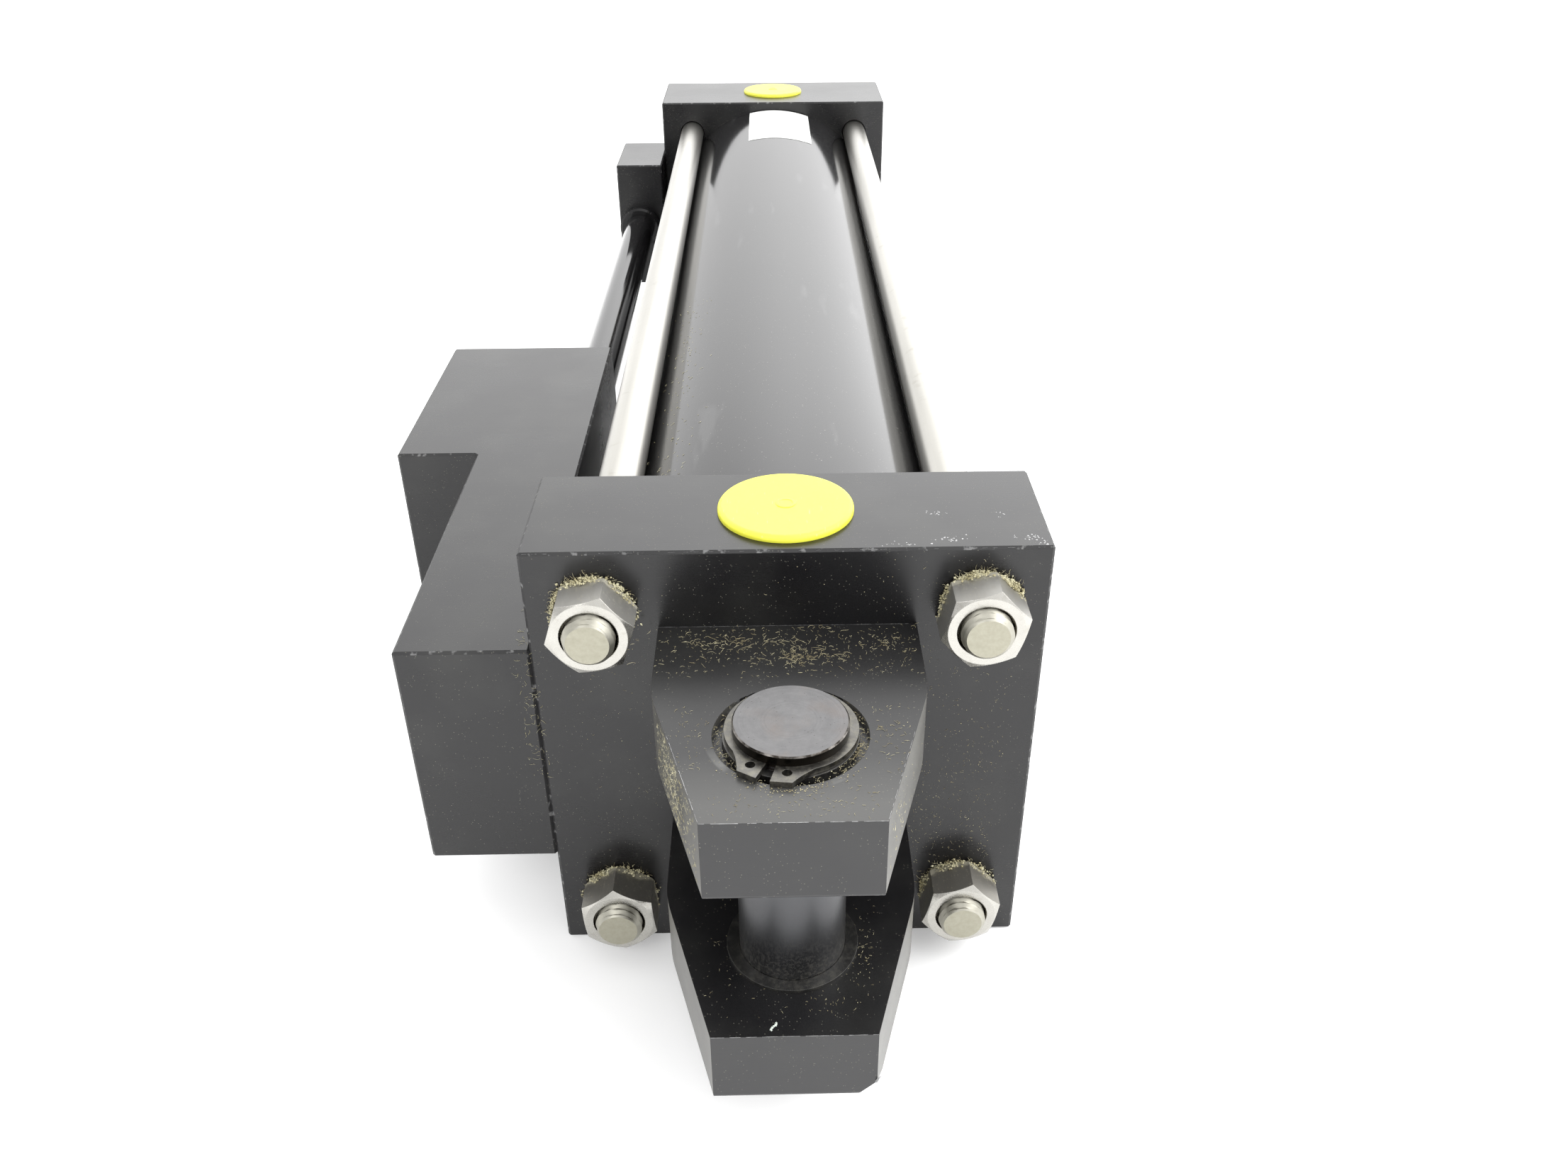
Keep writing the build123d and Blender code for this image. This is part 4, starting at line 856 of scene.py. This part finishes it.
def barrel_dust(heap):
    """Dust on the barrel in the hollow beside the left tie rod, near the cap."""
    low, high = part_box("barrel")
    radius = (high.x - low.x) / 2
    for _ in range(260):
        angle = math.radians(random.gauss(123, 4.0))
        outward = Vector((math.cos(angle), 0, math.sin(angle)))
        place = outward * radius + Vector((0, low.y + 130 * MM * random.random() ** 1.6, 0))
        heap.litter(place, outward, 0.5, (0.1, 0.35), (0.3, 1.1), COARSE_FIBRE)


def gate_mark(name, node, body, material):
    """The small raised ring that a mould's gate leaves in the middle of a plug."""
    low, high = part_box(node)
    sections = [(height * MM, plain(radius * MM)) for height, radius in GATE_SECTION]
    points, faces = lathe(sections, (0.0, 0.0), round_angles())
    middle = Vector(((low.x + high.x) / 2, (low.y + high.y) / 2, high.z))
    stood = [middle + Vector((x, -z, y)) for x, y, z in points]
    piece = new_piece(name, stood, faces, material, body)


def cap_front_dust(heap):
    """Short fibres on the front of the cap, most to the right and near the ear."""
    patches = (
        # Lower left corner, width, height in millimetres, and how many
        (24, -34, 17, 34, 330),
        (26, -4, 17, 30, 110),
        (-40, -36, 14, 60, 60),
        (-24, 33, 48, 12, 16),
        (8, 36, 38, 10, 12),
    )
    for x, z, wide, high, count in patches:
        strew(heap, (x * MM, CAP_FRONT, z * MM), (wide * MM, 0, 0), (0, 0, high * MM), count, (0.2, 0.8),
              grains=0.6, lift=0.1)


def seam_dust(heap):
    """Dust in the seam between the manifold and the cap, down its front and along its top."""
    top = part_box("manifold_block")[1].z
    front = (-CAP_SIDE - 3 * MM, CAP_FRONT, top - 30 * MM)
    strew(heap, front, (4 * MM, 0, 0), (0, 0, 30 * MM), 90, (0.4, 1.6), grains=0.4)
    above = (-CAP_SIDE - 2.5 * MM, CAP_FRONT + 2 * MM, top)
    strew(heap, above, (2.5 * MM, 0, 0), (0, 60 * MM, 0), 130, (0.4, 1.6))


def low_ear_dust(heap):
    """Fine fibres on the lower ear round the bush, most at the right."""
    level = LOW_EAR[1].z
    strew(heap, (-16 * MM, -17 * MM, level), (32 * MM, 0, 0), (0, 34 * MM, 0), 110, (0.2, 0.7))
    clump(heap, (12.2 * MM, -4 * MM, level), (1.2 * MM, 4 * MM), 60, (0.3, 0.9), grains=0.5)
    clump(heap, (6 * MM, -13.5 * MM, level), (2.5 * MM, 1.2 * MM), 18, (0.3, 0.7))


def burr(heap, start, end, out, width, keep=0.8):
    """A thin ragged ridge along an edge, broken where the edge is whole."""
    start, end, out = Vector(start), Vector(end), Vector(out).normalized()
    count = max(4, int((end - start).length / BURR_STEP))
    path, widths = [], []
    for i in range(count + 1):
        place = start.lerp(end, i / count)
        if random.random() < keep or 0 < len(path) < 3:
            path.append(place + out * random.uniform(-0.02, 0.05) * MM)
            widths.append(width * random.uniform(0.4, 1.3))
        elif len(path) >= 3:
            heap.tube(path, widths, out)
            path, widths = [], []
    if len(path) >= 3:
        heap.tube(path, widths, out)


def edge_burrs(heap):
    """Burrs on the ears' upper edges, the upper ear's foot and the cap's top; one lifted curl."""
    half = EAR_HALF_NOSE - 0.1 * MM
    forward_up = (0, -1, 1)
    for top in (EAR_TOP, LOW_EAR[1].z):
        burr(heap, (-half, EAR_NOSE, top), (half, EAR_NOSE, top), forward_up, 0.08 * MM)
    foot = [(i * EAR_HALF_ROOT, CAP_FRONT, EAR_TOP) for i in (-1, 1)]
    burr(heap, foot[0], foot[1], forward_up, 0.10 * MM, 0.99)
    for i in (-1, 1):
        back = (i * (half + 6 * MM), EAR_NOSE + 21 * MM, EAR_TOP)
        burr(heap, (i * half, EAR_NOSE, EAR_TOP), back, (i, 0, 1), 0.07 * MM)
    ledge = 0.25 * MM
    rim = [(i * CAP_SIDE, CAP_FRONT + ledge, CAP_TOP - ledge) for i in (-1, 1)]
    burr(heap, rim[0], rim[1], forward_up, 0.06 * MM, 0.3)
    curl = []
    for share in (0, 0.3, 0.6, 1):
        x = half - 0.2 * MM + 0.9 * MM * share
        y = EAR_NOSE - 0.4 * MM * math.sin(3 * share)
        curl.append(Vector((x, y, LOW_EAR[0].z + (4.5 - 0.8 * math.cos(4 * share)) * MM)))
    heap.tube(curl, [0.35 * MM, 0.5 * MM, 0.45 * MM, 0.2 * MM], Vector((0, -1, 0)))


def scuffs(heap):
    """Bright nicks on the top of the cap, towards its right front corner."""
    nicks = (
        # Middle across and from the cap's front, spread in millimetres, and how many
        (28, 13, 1.2, 16),
        (40, 12, 0.7, 7),
        (30, 3.2, 1.4, 22),
        (44, 3.5, 1.5, 26),
        (20, 1.5, 3.0, 14),
        (46.2, 1.2, 0.5, 14),
    )
    for x, y, spread, count in nicks:
        for _ in range(count):
            place = Vector((x + random.gauss(0, spread), y + random.gauss(0, 0.5), 0)) * MM
            place += Vector((0, CAP_FRONT, CAP_TOP))
            if place.x < CAP_SIDE - 0.6 * MM and place.y > CAP_FRONT + 0.6 * MM:
                heap.grain(place, UP, random.uniform(0.15, 0.5) * MM, 0.12)


def paint_chip(heap):
    """A pale flake on the inside of the lower ear: a short line of crumbs."""
    crumbs = 14
    for k in range(crumbs):
        share = k / (crumbs - 1)
        place = Vector((-4.1 * MM + 1.1 * MM * share, -19.6 * MM + 1.5 * MM * share, LOW_EAR[1].z))
        place += Vector((random.gauss(0, 0.12) * MM, random.gauss(0, 0.1) * MM, 0))
        heap.grain(place, UP, 0.5 * MM, 0.25)


def materials_by_slot():
    """Dresses every CAD node by its slot, and the two ears with their own wear, dust and painted light."""
    made = finishes()
    for part in RECORD["subparts"]:
        dress(frame["nodes"][part["node"]], made[part["material_slot"]])
    ear = anodised("ear_anodised", rough=0.33, ear=True)
    for node in ("clevis_ear_upper", "clevis_ear_lower"):
        dress(frame["nodes"][node], ear)
    return made


def dust_and_wear():
    """Debris that rides on the cylinder, as a few meshes."""
    straw = lint("straw", (0.50, 0.46, 0.30), (0.24, 0.20, 0.11))
    grit = lint("grit", (0.58, 0.55, 0.38), (0.32, 0.28, 0.15))
    metal = bare_metal("bare_metal")
    strands, crumbs, side = Heap(), Heap(), Heap()
    ear_top_dust(strands)
    recess_dust(strands)
    cap_front_dust(strands)
    low_ear_dust(strands)
    nut_crust(crumbs, strands)
    ear_side_dust(side)
    seam_dust(side)
    barrel_dust(side)
    strands.piece("straw_fibres", straw)
    crumbs.piece("nut_grit", grit)
    side.piece("side_dust", grit)
    ridges, nicks, flake = Heap(), Heap(), Heap()
    edge_burrs(ridges)
    scuffs(nicks)
    paint_chip(flake)
    ridges.piece("edge_burrs", metal)
    nicks.piece("cap_nicks", metal)
    flake.piece("paint_flake", lint("flake", (0.62, 0.68, 0.62), (0.5, 0.55, 0.5)))


def floor():
    """A large flat pale floor under the object, which glows a little."""
    corners = ((-1, -1), (1, -1), (1, 1), (-1, 1))
    points = [(i * FLOOR_REACH, j * FLOOR_REACH, CAD_BOX[0].z) for i, j in corners]
    mesh = bpy.data.meshes.new("studio_floor")
    mesh.from_pydata(points, [], [(0, 1, 2, 3)])
    piece = bpy.data.objects.new("studio_floor", mesh)
    bpy.context.scene.collection.objects.link(piece)
    graph = Graph("studio_floor")
    tint = graph.mix(graph.noise(3.0, 3.0), (0.85, 0.85, 0.85), (0.88, 0.88, 0.88))
    graph.set(Emission_Color=(1.0, 1.0, 1.0), Emission_Strength=FLOOR_GLOW)
    dress(piece, graph.set(Base_Color=tint, Roughness=0.7))


def sky():
    """A white surround, brightest behind the object and dimmer at the horizon there.

    It is also dimmer overhead, in front and at the left.
    """
    world = bpy.data.worlds.new("studio")
    bpy.context.scene.world = world
    world.use_nodes = True
    nodes = Nodes(world.node_tree)
    x, y, z = nodes.parts(nodes.tree.nodes.new("ShaderNodeTexCoord").outputs["Generated"])
    level = nodes.remap(y, *SKY_BACK, smooth=True)
    for axis, steps in ((x, SKY_SIDE), (y, SKY_FAR), (z, SKY_HIGH)):
        level = nodes.math("MULTIPLY", level, nodes.remap(axis, *steps, smooth=True))
    background = nodes.tree.nodes.new("ShaderNodeBackground")
    nodes.put(background.inputs["Color"], (1.0, 1.0, 1.0))
    nodes.put(background.inputs["Strength"], level)
    output = nodes.tree.nodes.new("ShaderNodeOutputWorld")
    nodes.put(output.inputs["Surface"], background.outputs[0])


def soft_light(name, place, target, size, power):
    """A rectangular lamp that the camera doesn't see."""
    light = bpy.data.lights.new(name, "AREA")
    light.shape = "RECTANGLE"
    light.size, light.size_y = size
    light.energy = power
    lamp = bpy.data.objects.new(name, light)
    lamp.location = place
    lamp.rotation_mode = "QUATERNION"
    lamp.rotation_quaternion = (Vector(target) - Vector(place)).to_track_quat("-Z", "Y")
    lamp.visible_camera = False
    bpy.context.scene.collection.objects.link(lamp)


def camera():
    """The view down the cylinder, from an azimuth, an elevation and a roll."""
    a, e = math.radians(CAMERA_AZIMUTH), math.radians(CAMERA_ELEVATION)
    back = Vector((math.sin(a) * math.cos(e), -math.cos(a) * math.cos(e), math.sin(e)))
    right = Vector((math.cos(a), math.sin(a), 0.0))
    turned = Matrix((right, back.cross(right), back)).transposed()
    data = bpy.data.cameras.new("camera")
    data.lens = CAMERA_LENS
    data.shift_x, data.shift_y = CAMERA_SHIFT
    data.clip_start, data.clip_end = 0.01, 20.0
    rig = bpy.data.objects.new("camera", data)
    roll = Matrix.Rotation(math.radians(CAMERA_ROLL), 3, back)
    rig.matrix_world = Matrix.Translation(CAMERA_PLACE) @ (roll @ turned).to_4x4()
    bpy.context.scene.collection.objects.link(rig)
    bpy.context.scene.camera = rig


random.seed(RANDOM_SEED)
MATERIALS = materials_by_slot()
for tie_rod in sorted(name for name in frame["nodes"] if name.startswith("tie_rod_")):
    threaded_tie_rod(tie_rod, MATERIALS["stainless_rod"])
threaded_piston_rod(MATERIALS["chrome_rod"])
gate_mark("cap_plug_gate_mark", "cap_port_plug", "cap_plug", MATERIALS["yellow_plastic"])
gate_mark("head_plug_gate_mark", "head_port_plug", "head_plug", MATERIALS["yellow_plastic"])
dust_and_wear()
floor()
sky()
soft_light("key", place=(0.75, -0.25, 0.8), target=(0.0, 0.15, 0.0), size=(0.8, 0.8), power=8)
soft_light("fill", place=(-0.55, -0.9, 0.9), target=(-0.08, -0.08, -0.04), size=(0.6, 0.6), power=5)
camera()
bpy.context.scene.view_settings.view_transform = "Standard"
